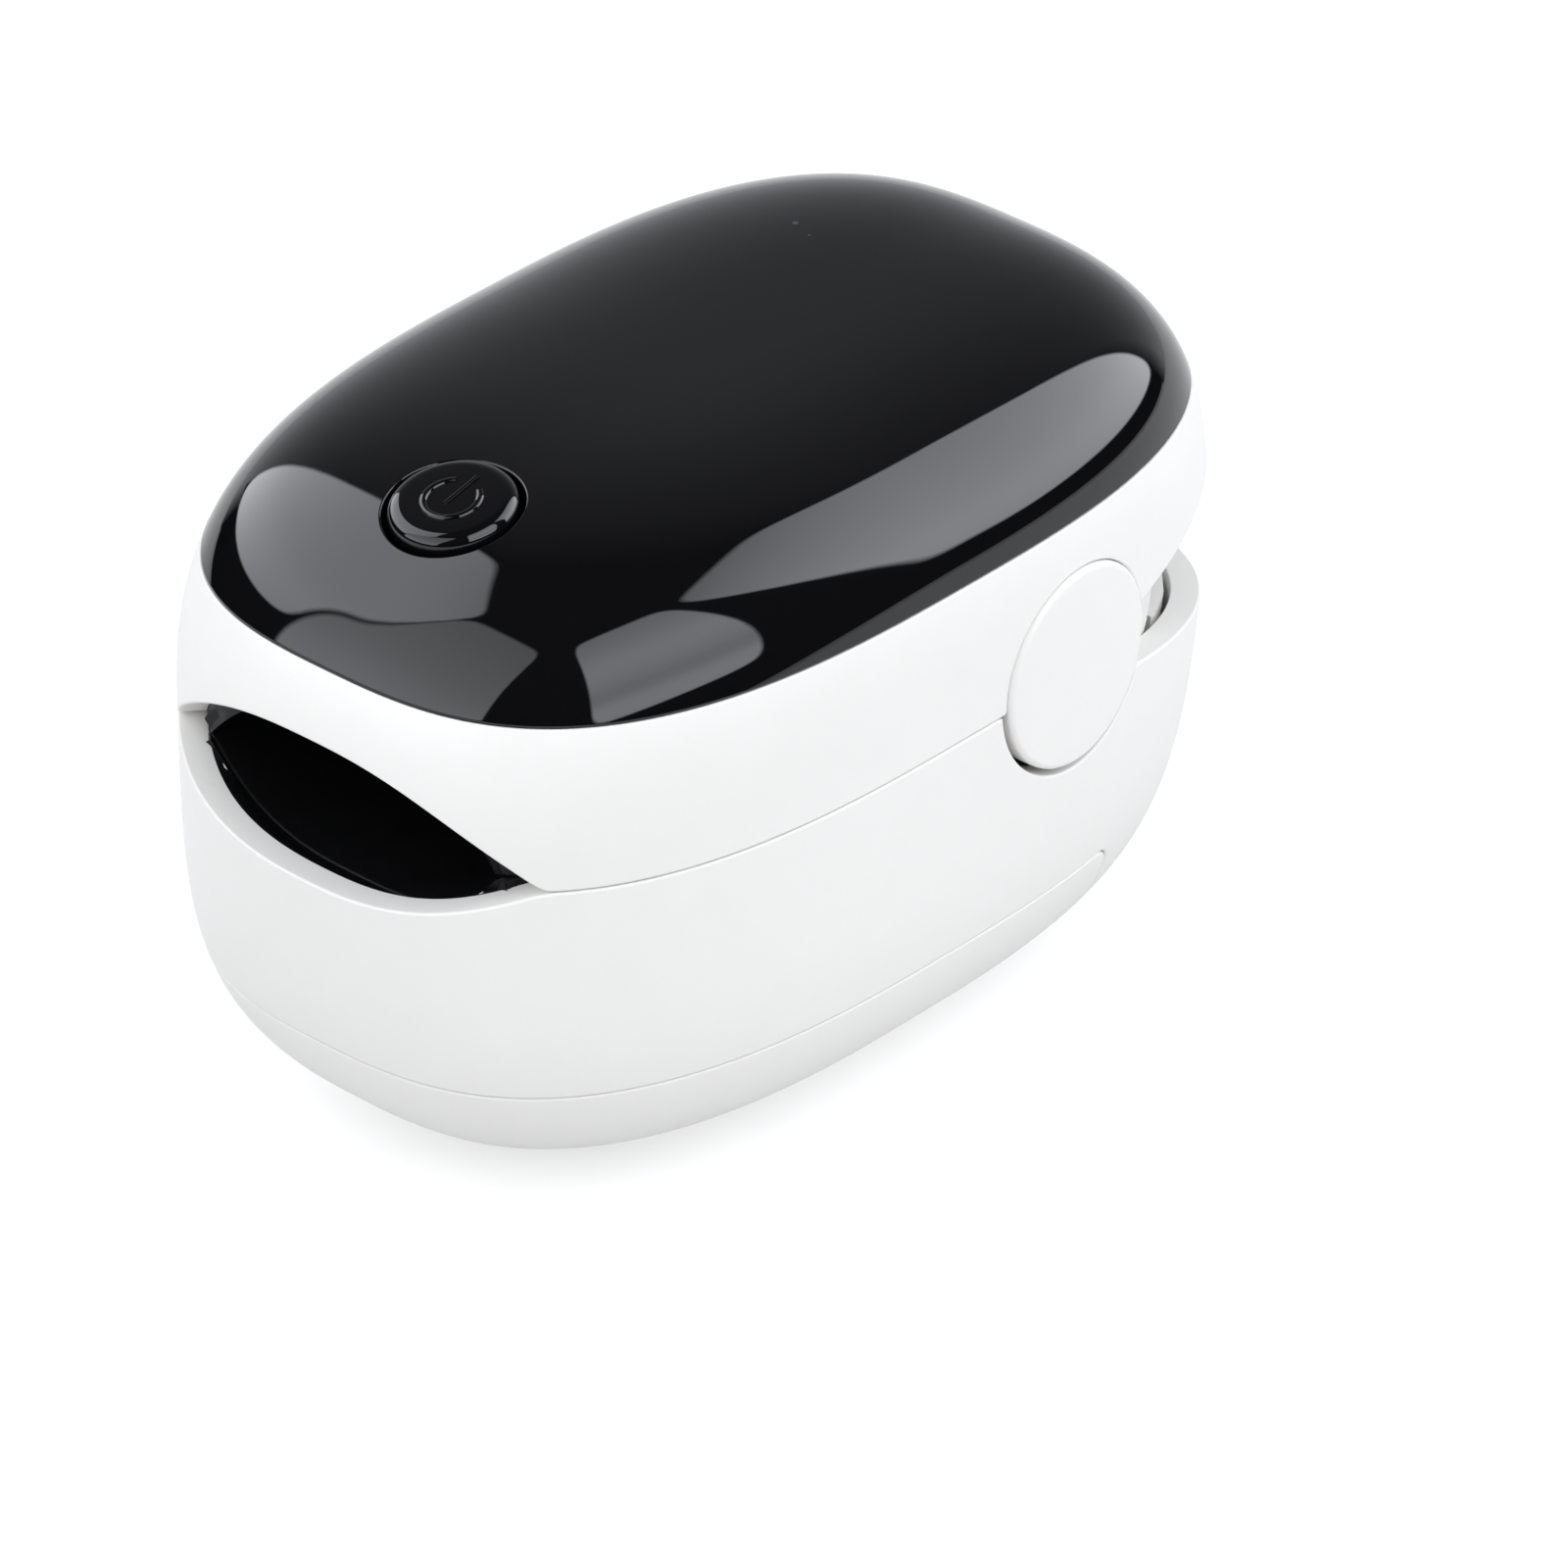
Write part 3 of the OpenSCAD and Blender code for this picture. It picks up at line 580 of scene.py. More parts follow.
# %% Turning and sweeping
def turned(profile, origin, axis, count=120):
    """A closed solid from a profile of (radius, height) points that starts and ends on the axis."""
    axis = unit(np.array(axis, float))
    side = unit(np.cross(axis, [0.0, 1.0, 0.3]))
    other = np.cross(axis, side)
    phi = np.linspace(0, 2 * np.pi, count, endpoint=False)
    ring = np.cos(phi)[:, None] * side + np.sin(phi)[:, None] * other
    points = [np.array(origin) + profile[0][1] * axis]
    for r, h in profile[1:-1]:
        points.extend(np.array(origin) + r * ring + h * axis)
    points.append(np.array(origin) + profile[-1][1] * axis)
    last, rows = len(points) - 1, len(profile) - 2
    faces = [(0, 1 + k, 1 + (k + 1) % count) for k in range(count)]
    for row in range(rows - 1):
        a, b = 1 + row * count, 1 + (row + 1) * count
        faces += [(a + k, b + k, b + (k + 1) % count, a + (k + 1) % count) for k in range(count)]
    a = 1 + (rows - 1) * count
    return np.array(points), faces + [(a + k, last, a + (k + 1) % count) for k in range(count)]


def swept(path, across, up, radii, sides=12):
    """A tube along a path. Across and up are its two directions at each point, radii its half sizes."""
    path, across, up = (np.asarray(v, float) for v in (path, across, up))
    phi = np.linspace(0, 2 * np.pi, sides, endpoint=False)
    rings = path[:, None] + radii[0] * np.cos(phi)[None, :, None] * across[:, None]
    rings = rings + radii[1] * np.sin(phi)[None, :, None] * up[:, None]
    points = rings.reshape(-1, 3)
    faces = [tuple(range(sides))[::-1], tuple((len(path) - 1) * sides + k for k in range(sides))]
    for row in range(len(path) - 1):
        a, b = row * sides, (row + 1) * sides
        faces += [(a + k, a + (k + 1) % sides, b + (k + 1) % sides, b + k) for k in range(sides)]
    return points, faces


def merged(*solids):
    """Several solids as one list of points and faces."""
    points, faces, start = [], [], 0
    for p, f in solids:
        points.append(p)
        faces += [tuple(start + v for v in face) for face in f]
        start += len(p)
    return np.concatenate(points), faces


def soften_edges(piece, angle=35):
    """Smooth shading that keeps edges sharper than the angle."""
    piece.data.set_sharp_from_angle(angle=np.radians(angle))


# %% Power button
BUTTON_R = HOLE_R - 0.28
TOP_R, TOP_H = 2.42, 0.42
bow = np.linspace(0, 1, 9)[1:]
FLANGE_R, STEM_R = HOLE_R + 0.45, 1.2
crown = [(TOP_R * k, TOP_H + 0.03 * (1 - k * k)) for k in (0.35, 0.7, 1.0)]
chamfer = [
    (TOP_R + (BUTTON_R - TOP_R) * np.sin(b * np.pi / 2), TOP_H - 0.62 * (1 - np.cos(b * np.pi / 2) ** 0.8))
    for b in bow
]
skirt = [(BUTTON_R, -2.55), (FLANGE_R, -2.56), (FLANGE_R, -3.15), (STEM_R, -3.16), (STEM_R - 0.05, -3.3)]
button_body = turned([(0, TOP_H + 0.03)] + crown + chamfer + skirt + [(0, -3.32)], button_at, button_axis)


def on_button(x, y, h):
    x, y, h = (np.asarray(v, float)[..., None] for v in (x, y, h))
    return button_at + x * button_side + y * button_back + h * button_axis


SIGN_R, SIGN_HALF, SIGN_H = 1.36, 0.19, 0.1
open_half = np.radians(33)
ring_turn = np.linspace(np.pi / 2 + open_half, np.pi * 2.5 - open_half, 60)
ring_out = np.cos(ring_turn)[:, None] * button_side + np.sin(ring_turn)[:, None] * button_back
sign_ring = swept(
    on_button(SIGN_R * np.cos(ring_turn), SIGN_R * np.sin(ring_turn), np.full(60, TOP_H + 0.01)),
    -ring_out,
    np.tile(button_axis, (60, 1)),
    (SIGN_HALF, SIGN_H),
)
bar_y = np.linspace(-0.45, 1.85, 10)
sign_bar = swept(
    on_button(np.zeros(10), bar_y, np.full(10, TOP_H + 0.01)),
    np.tile(-button_side, (10, 1)),
    np.tile(button_axis, (10, 1)),
    (SIGN_HALF * 0.8, SIGN_H),
)
button = new_piece("button_power", *merged(button_body, sign_ring, sign_bar))
soften_edges(button, 40)
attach(button, "power_button")
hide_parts("power_button")
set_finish(button, "black_lens")

# %% [markdown]
# ## Hinge caps
# A cap is a disc that follows the skin and stands a little proud of it. It uses the same sheet maker with
# a circle round the hinge as its only edge, and the left cap is the right one mirrored.


# %% Hinge caps
def mirrored(points, faces, normals=None):
    flip = np.array([-1, 1, 1])
    flipped = [f[::-1] for f in faces]
    return (points * flip, flipped) if normals is None else (points * flip, flipped, normals * flip)


phi = np.linspace(0, 2 * np.pi, 700)
circle_y, circle_z = HINGE_Y + CAP_R * np.cos(phi), HINGE_Z + CAP_R * np.sin(phi)
cap_edge = join_stretches(skin, [(turn_at(circle_y, circle_z), circle_z)], 0.2)
grid = np.meshgrid(np.arange(-6, 6.01, 0.6) + HINGE_Y, np.arange(-6, 6.01, 0.6) + HINGE_Z)
grid_y, grid_z = (g.ravel() for g in grid)


def cap_chart(turn, z):
    return skin_chart(turn, z, "top")


CAP_T, CAP_PROUD = 1.3, 0.2
cap_fill = turn_at(grid_y, grid_z), grid_z
cap = sheet(skin, cap_chart, [cap_edge], cap_fill, CAP_T, 0.32, 0.6, CAP_PROUD)
for side, solid in (("right", cap), ("left", mirrored(*cap))):
    piece = new_piece(f"cap_hinge_{side}", *solid)
    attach(piece, "upper_half")
    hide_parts(f"hinge_cap_{side}")
    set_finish(piece, "white_shell")

# %% [markdown]
# ## The mouth
# Behind the white rim, black silicone slopes into the finger channel like a funnel. It is a strip between
# two curves: the inner edge of the shell's wall and the edge of the channel. It starts a little below
# the rim, so that the wall shows as a clean white band, and a rolled lip ends it at the pad.

# %% Mouth funnel
CHANNEL_R = 9.4
pad_low, pad_high = size_mm("lower_finger_pad")
PAD_T = 0.9
CHANNEL_FRONT = -24.2 * BODY_L / 55
FLOOR_Z, ROOF_Z = pad_low[2] + PAD_T, size_mm("upper_finger_pad")[1][2] - PAD_T
SIDE_GAP = 0.15
MOUTH_END = MOUTH_R + 0.4


def floor_z(x):
    return FLOOR_Z + (SEAM_Z - SIDE_GAP - FLOOR_Z) * np.minimum(1, np.abs(x / CHANNEL_R)) ** 3


def roof_z(x):
    return ROOF_Z - (ROOF_Z - SEAM_Z - SIDE_GAP) * np.minimum(1, np.abs(x / CHANNEL_R)) ** 3


def funnel(edge, inner_z, way):
    """The strip from the mouth's edge on the skin to the channel's edge, as a closed solid."""
    turn, z = edge
    outer = skin(turn, z)
    dp, dq = tangents(skin, turn, z)
    outward = unit(np.cross(dp, dq))
    outward *= np.sign((outward * outer).sum(-1, keepdims=True))
    outer = outer - (WALL - 0.08) * outward - np.array([0, 0, 0.1 * way])
    x_in = outer[:, 0] * (CHANNEL_R + PAD_T - 0.1) / MOUTH_END
    z_in = inner_z(x_in) + 0.16 * way * (1 - (x_in / 11) ** 4)
    inner = np.stack([x_in, np.full(len(x_in), CHANNEL_FRONT), z_in], -1)
    middle = 0.6 * outer + 0.4 * inner + np.array([0, 0, 0.25 * way])
    t = np.linspace(0, 1, 14)[:, None, None]
    top = (1 - t) ** 2 * outer + 2 * t * (1 - t) * middle + t**2 * inner
    depth = np.array([0, 0.3, -0.75 * way])
    lip = [top[-1] + 0.08 * np.array([0, np.sin(a), (np.cos(a) - 1) * way]) for a in (0.5, 1.0, 1.57)]
    rows = list(top) + lip + list((top + depth)[::-1])
    count, width = len(rows), len(x_in)
    faces = []
    for row in range(count):
        a, b = row * width, (row + 1) % count * width
        faces += [(a + k, a + k + 1, b + k + 1, b + k) for k in range(width - 1)]
    for k, turned_over in ((0, False), (width - 1, True)):
        end = [row * width + k for row in range(count)]
        faces.append(end if turned_over else end[::-1])
    return np.concatenate(rows), faces


def mouth_part(height):
    """The part of a half's edge that borders the mouth, from left to right."""
    turn, z = follow(height, FRONT, np.radians(-20), 600)
    keep = skin(turn, z)[:, 0] < MOUTH_END
    turn, z = turn[keep], z[keep]
    return np.concatenate([(-np.pi - turn)[::-1], turn[1:]]), np.concatenate([z[::-1], z[1:]])


def outward_faces(piece):
    """Turns all faces of a closed piece outwards."""
    work = bmesh.new()
    work.from_mesh(piece.data)
    bmesh.ops.recalc_face_normals(work, faces=work.faces)
    work.to_mesh(piece.data)
    work.free()


for label, body, height, inner_z, way in (
    ("lower", "lower_half", rim_z, floor_z, 1),
    ("upper", "upper_half", arch_z, roof_z, -1),
):
    piece = new_piece(f"mouth_{label}", *funnel(mouth_part(height), inner_z, way))
    outward_faces(piece)
    soften_edges(piece, 50)
    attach(piece, body)
    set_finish(piece, "black_silicone")

# %% [markdown]
# ## Finger pads
# The pads are soft silicone liners. On a flat chart each is a rectangle with round corners and a round
# window for the light, and the chart is the pad unrolled. Place bends it into the channel. A flat wall
# closes the rear end of the channel, half of it on each pad.


# %% Finger pads
WINDOW_R, WINDOW_Y = 2.2, -6.0


def finger_pad(height, way, name, node, body):
    """A liner that follows the channel. Way is 1 for the floor and -1 for the roof."""
    y0, y1, half, corner = CHANNEL_FRONT + 0.22, pad_high[1] - 0.2, CHANNEL_R - 0.2, 0.6
    outer_r = CHANNEL_R + PAD_T
    x_table = np.linspace(-outer_r, outer_r, 600)
    run = np.concatenate([[0], np.cumsum(np.hypot(np.diff(x_table), np.diff(height(x_table))))])
    run = run - run[-1] / 2

    def place(p, q):
        x = np.interp(p, run, x_table)
        return np.stack([x, q, height(x) + 0.08 * way], -1)

    def chart(p, q):
        return np.stack([way * p, q], -1)

    reach = np.interp(outer_r - 0.25, x_table, run)
    turns = np.radians(np.linspace(0, 360, 48, endpoint=False)) + np.pi / 48
    edge_p = np.sign(np.cos(turns)) * (reach - corner) + corner * np.cos(turns)
    edge_q = (y0 + y1) / 2 + np.sign(np.sin(turns)) * ((y1 - y0) / 2 - corner) + corner * np.sin(turns)
    rim = join_stretches(place, [(np.append(edge_p, edge_p[0]), np.append(edge_q, edge_q[0]))], 0.3)
    bow = np.linspace(0, 2 * np.pi, 60, endpoint=False)
    window = WINDOW_R * np.cos(bow), WINDOW_Y + WINDOW_R * np.sin(bow)
    fill = tuple(g.ravel() for g in np.meshgrid(np.arange(-reach, reach, 0.7), np.arange(y0, y1, 0.7)))
    liner = sheet(place, chart, [rim, window], fill, PAD_T - 0.04, 0.2, 0.7)

    def end_place(p, q):
        return np.stack([p, np.full_like(p, pad_high[1] - PAD_T), q], -1)

    def end_chart(p, q):
        return np.stack([p, q], -1)

    across = np.linspace(-half, half, 80)
    split = np.full(2, SEAM_Z - way * 0.2)
    end_sides = [
        (across, height(across)),
        (across[[-1, -1]], np.array([height(half), split[0]])),
        (across[[-1, 0]], split),
        (across[[0, 0]], np.array([split[0], height(half)])),
    ]
    end_rim = join_stretches(end_place, end_sides)
    fill = tuple(g.ravel() for g in np.meshgrid(np.arange(-half, half, 0.7), np.arange(FLOOR_Z, ROOF_Z, 0.7)))
    end_wall = sheet(end_place, end_chart, [end_rim], fill, PAD_T - 0.3, 0.12, 0.7)
    points, faces = merged(liner[:2], end_wall[:2])
    piece = new_piece(name, points, faces, np.concatenate([liner[2], end_wall[2]]))
    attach(piece, body)
    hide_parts(node)
    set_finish(piece, "black_silicone")


finger_pad(floor_z, 1, "pad_lower", "lower_finger_pad", "lower_half")
finger_pad(roof_z, -1, "pad_upper", "upper_finger_pad", "upper_half")

# %% [markdown]
# ## Springs and ribbon
# A torsion spring's coil turns about the hinge, with one leg laid along the lower half and the other along
# the upper half. The ribbon is a thin flat strip whose straight runs meet in rounded bends.

# %% Torsion springs
SPRING_R, WIRE_R, PITCH, LEG = 2.1, 0.3, 0.65, 8.4
spring_x = size_mm("torsion_spring_right")[0][0] + WIRE_R
lower_tilt, upper_tilt = np.radians(2), np.radians(-15)
turn0, turn1 = lower_tilt - np.pi / 2, upper_tilt + np.pi / 2 - 6 * np.pi
coil = np.linspace(turn0, turn1, 150)


def spring_path():
    x = spring_x + PITCH * (turn0 - coil) / (2 * np.pi)
    points = np.stack([x, HINGE_Y + SPRING_R * np.cos(coil), HINGE_Z + SPRING_R * np.sin(coil)], -1)
    first, last = np.array([0, np.sin(turn0), -np.cos(turn0)]), np.array([0, np.sin(turn1), -np.cos(turn1)])
    reach = np.linspace(LEG, 0.3, 14)[:, None]
    path = np.concatenate([points[0] - reach * first, points, points[-1] + reach[::-1] * last])
    angle = np.concatenate([np.full(14, turn0), coil, np.full(14, turn1)])
    radial = np.stack([np.zeros(len(angle)), np.cos(angle), np.sin(angle)], -1)
    return path, np.tile([1.0, 0, 0], (len(angle), 1)), radial


wire = swept(*spring_path(), (WIRE_R, WIRE_R), sides=14)
for side, solid in (("right", wire), ("left", mirrored(*wire))):
    piece = new_piece(f"spring_{side}", *solid)
    outward_faces(piece)
    soften_edges(piece, 60)
    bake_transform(piece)
    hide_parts(f"torsion_spring_{side}")
    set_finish(piece, "spring_steel")

# %% Ribbon cable
ribbon_low, ribbon_high = size_mm("ribbon_cable")
thin = 0.1
ribbon_y = size_mm("ribbon_connector")[0][1] - 0.9
corners = [
    (ribbon_low[1], ribbon_low[2] + thin),
    (ribbon_y + thin, ribbon_low[2] + thin),
    (ribbon_y + thin, ribbon_high[2] - thin),
    (ribbon_high[1], ribbon_high[2] - thin),
]


def rounded_path(corners, radius=0.35, steps=6):
    """Straight runs joined by arcs, with points every half millimetre or so."""
    path = [np.array(corners[0], float)]
    for before, here, after in zip(corners[:-2], corners[1:-1], corners[2:]):
        before, here, after = (np.array(v, float) for v in (before, here, after))
        a, b = here + radius * unit(before - here), here + radius * unit(after - here)
        t = np.linspace(0, 1, steps)[:, None]
        path += list((1 - t) ** 2 * a + 2 * t * (1 - t) * here + t**2 * b)
    path.append(np.array(corners[-1], float))
    dense = [path[0]]
    for a, b in zip(path[:-1], path[1:]):
        n = max(1, int(np.linalg.norm(b - a) / 0.5))
        dense += [a + (b - a) * k / n for k in range(1, n + 1)]
    return np.array(dense)


line = rounded_path(corners)
ahead = unit(np.gradient(line, axis=0))
ribbon_points = np.stack([np.zeros(len(line)), line[:, 0], line[:, 1]], -1)
ribbon_side = np.stack([np.zeros(len(line)), -ahead[:, 1], ahead[:, 0]], -1)
half = (ribbon_high[0] - ribbon_low[0]) / 2
flat_x = np.array([-half, -half * 0.33, half * 0.33, half, half, half * 0.33, -half * 0.33, -half])
flat_h = np.array([-1, -1, -1, -1, 1, 1, 1, 1]) * thin * 0.9
rings = ribbon_points[:, None] + flat_x[None, :, None] * np.array([1.0, 0, 0])
rings = rings + flat_h[None, :, None] * ribbon_side[:, None]
faces = [tuple(range(8)), tuple((len(line) - 1) * 8 + k for k in range(8))]
faces += [
    (r * 8 + k, r * 8 + (k + 1) % 8, (r + 1) * 8 + (k + 1) % 8, (r + 1) * 8 + k)
    for r in range(len(line) - 1)
    for k in range(8)
]
ribbon = new_piece("ribbon_flat", rings.reshape(-1, 3), faces)
outward_faces(ribbon)
soften_edges(ribbon, 40)
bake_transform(ribbon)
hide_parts("ribbon_cable")
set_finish(ribbon, "amber_film")

# %% [markdown]
# ## Materials
# Moulded plastic is never one flat colour. Its surface copies the mould: a fine spark-etched grain on the
# white parts, a polish with faint waves and dust on the black ones. The effects are shader node groups
# that put out masks and heights, and each material mixes them into its own shader.


# %% Node helpers
def new_group(name, inputs, outputs):
    group = bpy.data.node_groups.new(name, "ShaderNodeTree")
    for label, value in inputs:
        socket = group.interface.new_socket(label, in_out="INPUT", socket_type="NodeSocketFloat")
        socket.default_value = value
    for label in outputs:
        group.interface.new_socket(label, in_out="OUTPUT", socket_type="NodeSocketFloat")
    return group, group.nodes.new("NodeGroupInput"), group.nodes.new("NodeGroupOutput")


def plug(tree, value, socket):
    """Sets a socket to a number, or links it to another socket."""
    if isinstance(value, (int, float)):
        socket.default_value = value
    else:
        tree.links.new(value, socket)


def math_node(tree, operation, *values):
    node = tree.nodes.new("ShaderNodeMath")
    node.operation = operation
    for socket, value in zip(node.inputs, values):
        plug(tree, value, socket)
    return node.outputs[0]


def noise_node(tree, scale, detail=3.0, rough=0.5, distortion=0.0):
    coords = tree.nodes.new("ShaderNodeTexCoord")
    node = tree.nodes.new("ShaderNodeTexNoise")
    node.inputs["Detail"].default_value = detail
    node.inputs["Roughness"].default_value = rough
    node.inputs["Distortion"].default_value = distortion
    tree.links.new(coords.outputs["Object"], node.inputs["Vector"])
    plug(tree, scale, node.inputs["Scale"])
    return node.outputs["Fac"]


def spots_node(tree, scale):
    coords = tree.nodes.new("ShaderNodeTexCoord")
    node = tree.nodes.new("ShaderNodeTexVoronoi")
    tree.links.new(coords.outputs["Object"], node.inputs["Vector"])
    plug(tree, scale, node.inputs["Scale"])
    return node.outputs["Distance"]


# %% Mould grain
grain_group, grain_in, grain_out = new_group(
    "mould_grain", [("Fine", 3200.0), ("Coarse", 300.0)], ["Height", "Mottle"]
)
fine = noise_node(grain_group, grain_in.outputs["Fine"], detail=2.0, rough=0.65)
pits = spots_node(grain_group, grain_in.outputs["Fine"])
coarse = noise_node(grain_group, grain_in.outputs["Coarse"], detail=4.0, rough=0.55)
height = math_node(grain_group, "ADD", math_node(grain_group, "MULTIPLY", pits, 0.35), fine)
grain_group.links.new(height, grain_out.inputs["Height"])
grain_group.links.new(coarse, grain_out.inputs["Mottle"])

# %% Dust and smears
dust_group, dust_in, dust_out = new_group(
    "fine_dust", [("Specks", 420.0), ("Amount", 0.5)], ["Specks", "Smears"]
)
specks = spots_node(dust_group, dust_in.outputs["Specks"])
patches = noise_node(dust_group, 90.0, detail=1.0)
speck_size = math_node(dust_group, "MULTIPLY", patches, dust_in.outputs["Amount"])
near = math_node(dust_group, "LESS_THAN", specks, math_node(dust_group, "SUBTRACT", speck_size, 0.27))
smears = noise_node(dust_group, 60.0, detail=5.0, rough=0.7, distortion=0.8)
dust_group.links.new(near, dust_out.inputs["Specks"])
dust_group.links.new(smears, dust_out.inputs["Smears"])

# %% Brushed lines
brush_group, brush_in, brush_out = new_group(
    "drawn_lines", [("Along", 200.0), ("Across", 9000.0)], ["Lines"]
)
coords = brush_group.nodes.new("ShaderNodeTexCoord")
split = brush_group.nodes.new("ShaderNodeSeparateXYZ")
merge = brush_group.nodes.new("ShaderNodeCombineXYZ")
brush_group.links.new(coords.outputs["Object"], split.inputs[0])
for axis, rate in ((0, "Across"), (1, "Along"), (2, "Across")):
    brush_group.links.new(
        math_node(brush_group, "MULTIPLY", split.outputs[axis], brush_in.outputs[rate]), merge.inputs[axis]
    )
lines = brush_group.nodes.new("ShaderNodeTexNoise")
lines.inputs["Scale"].default_value = 1.0
lines.inputs["Detail"].default_value = 2.0
brush_group.links.new(merge.outputs[0], lines.inputs["Vector"])
brush_group.links.new(lines.outputs["Fac"], brush_out.inputs["Lines"])
print("node groups:", [g.name for g in bpy.data.node_groups])


# %% Building a finish
def new_material(name):
    material = bpy.data.materials.new(name)
    material.use_nodes = True
    tree = material.node_tree
    print("finish:", name)
    return material, tree, tree.nodes["Principled BSDF"]


def use_group(tree, group, **values):
    node = tree.nodes.new("ShaderNodeGroup")
    node.node_tree = group
    for label, value in values.items():
        node.inputs[label].default_value = value
    return node


def between(tree, factor, low, high, from_low=0.3, from_high=0.7):
    """Runs from low to high as the factor crosses its range."""
    node = tree.nodes.new("ShaderNodeMapRange")
    tree.links.new(factor, node.inputs["Value"])
    for label, value in (("From Min", from_low), ("From Max", from_high), ("To Min", low), ("To Max", high)):
        node.inputs[label].default_value = value
    return node.outputs["Result"]


def colours(tree, factor, first, second):
    node = tree.nodes.new("ShaderNodeMix")
    node.data_type = "RGBA"
    tree.links.new(factor, node.inputs["Factor"])
    for label, colour in (("A", first), ("B", second)):
        if isinstance(colour, tuple):
            node.inputs[label].default_value = (*colour, 1)
        else:
            tree.links.new(colour, node.inputs[label])
    return node.outputs["Result"]


def bump(tree, shader, height, strength, distance):
    node = tree.nodes.new("ShaderNodeBump")
    node.inputs["Strength"].default_value = strength
    node.inputs["Distance"].default_value = distance
    tree.links.new(height, node.inputs["Height"])
    tree.links.new(node.outputs["Normal"], shader.inputs["Normal"])


# %% [markdown]
# White shells: satin plastic with a fine etched grain. The grain breaks up reflections, so the parts
# look soft rather than shiny, and a slow mottle varies colour and roughness by a few percent.


# %% White plastic
def moulded_plastic(name, first, second, rough, grain, depth, fine=3200.0):
    material, tree, shader = new_material(name)
    group = use_group(tree, grain_group, Fine=fine, Coarse=260.0)
    tree.links.new(colours(tree, group.outputs["Mottle"], first, second), shader.inputs["Base Color"])
    mottled = between(tree, group.outputs["Mottle"], rough - 0.04, rough + 0.05)
    tree.links.new(mottled, shader.inputs["Roughness"])
    shader.inputs["IOR"].default_value = 1.47
    bump(tree, shader, group.outputs["Height"], grain, depth)
    return material


white_plastic = moulded_plastic(
    "satin_white", (0.882, 0.874, 0.85), (0.918, 0.91, 0.886), 0.42, 0.35, 0.00002
)
frame_plastic = moulded_plastic("frame_white", (0.84, 0.832, 0.81), (0.88, 0.872, 0.85), 0.5, 0.3, 0.00002)

# %% [markdown]
# The dome and the button are piano black: almost no colour of their own, a polished coat, and the little
# dust and the faint smears that every such surface collects.

# %% Piano black
lens_black, tree, shader = new_material("piano_black")
dust = use_group(tree, dust_group, Specks=420.0, Amount=0.5)
dusted = colours(tree, dust.outputs["Specks"], (0.004, 0.004, 0.0046), (0.06, 0.06, 0.065))
tree.links.new(dusted, shader.inputs["Base Color"])
smooth = between(tree, dust.outputs["Smears"], 0.012, 0.05)
rough_specks = math_node(tree, "MULTIPLY", dust.outputs["Specks"], 0.4)
tree.links.new(math_node(tree, "MAXIMUM", smooth, rough_specks), shader.inputs["Roughness"])
shader.inputs["IOR"].default_value = 1.5
waves = noise_node(tree, 45.0, detail=1.0)
bump(tree, shader, waves, 0.05, 0.0002)

# %% Black silicone
silicone, tree, shader = new_material("soft_silicone")
grain = use_group(tree, grain_group, Fine=5200.0, Coarse=420.0)
base = colours(tree, grain.outputs["Mottle"], (0.005, 0.005, 0.006), (0.01, 0.01, 0.011))
tree.links.new(base, shader.inputs["Base Color"])
tree.links.new(between(tree, grain.outputs["Mottle"], 0.32, 0.42), shader.inputs["Roughness"])
shader.inputs["IOR"].default_value = 1.41
shader.inputs["Specular IOR Level"].default_value = 0.2
bump(tree, shader, grain.outputs["Height"], 0.25, 0.00002)


# %% [markdown]
# Hidden metal and electronics show when the clip is opened or the cover is off. Steel carries drawing
# lines, boards a woven mask with copper runs, and the cell a printed jacket with plain bands.


# %% Metals
def drawn_metal(name, colour, rough):
    material, tree, shader = new_material(name)
    group = use_group(tree, brush_group, Along=150.0, Across=7000.0)
    darker = tuple(c * 0.82 for c in colour)
    tree.links.new(colours(tree, group.outputs["Lines"], darker, colour), shader.inputs["Base Color"])
    shader.inputs["Metallic"].default_value = 1.0
    lined = between(tree, group.outputs["Lines"], rough - 0.07, rough + 0.1)
    tree.links.new(lined, shader.inputs["Roughness"])
    bump(tree, shader, group.outputs["Lines"], 0.25, 0.00001)
    return material


bright_steel = drawn_metal("bright_steel", (0.78, 0.78, 0.8), 0.26)
spring_steel = drawn_metal("spring_steel", (0.6, 0.61, 0.63), 0.3)


# %% Boards
def axis_value(tree, axis):
    coords = tree.nodes.new("ShaderNodeTexCoord")
    split = tree.nodes.new("ShaderNodeSeparateXYZ")
    tree.links.new(coords.outputs["Object"], split.inputs[0])
    return split.outputs[axis]


def stripes(tree, value, period, share):
    """A mask that is on for a share of each period."""
    ratio = math_node(tree, "MULTIPLY", value, 1 / period)
    return math_node(tree, "LESS_THAN", math_node(tree, "FRACT", ratio), share)


board_green, tree, shader = new_material("solder_mask")
grain = use_group(tree, grain_group, Fine=2600.0, Coarse=500.0)
runs = math_node(
    tree,
    "MULTIPLY",
    stripes(tree, axis_value(tree, "X"), 0.0011, 0.3),
    math_node(tree, "GREATER_THAN", noise_node(tree, 160.0, detail=0.0), 0.5),
)
mask = colours(tree, runs, (0.012, 0.11, 0.05), (0.03, 0.2, 0.09))
tree.links.new(mask, shader.inputs["Base Color"])
tree.links.new(between(tree, grain.outputs["Mottle"], 0.28, 0.42), shader.inputs["Roughness"])
bump(tree, shader, math_node(tree, "ADD", runs, grain.outputs["Height"]), 0.3, 0.00003)

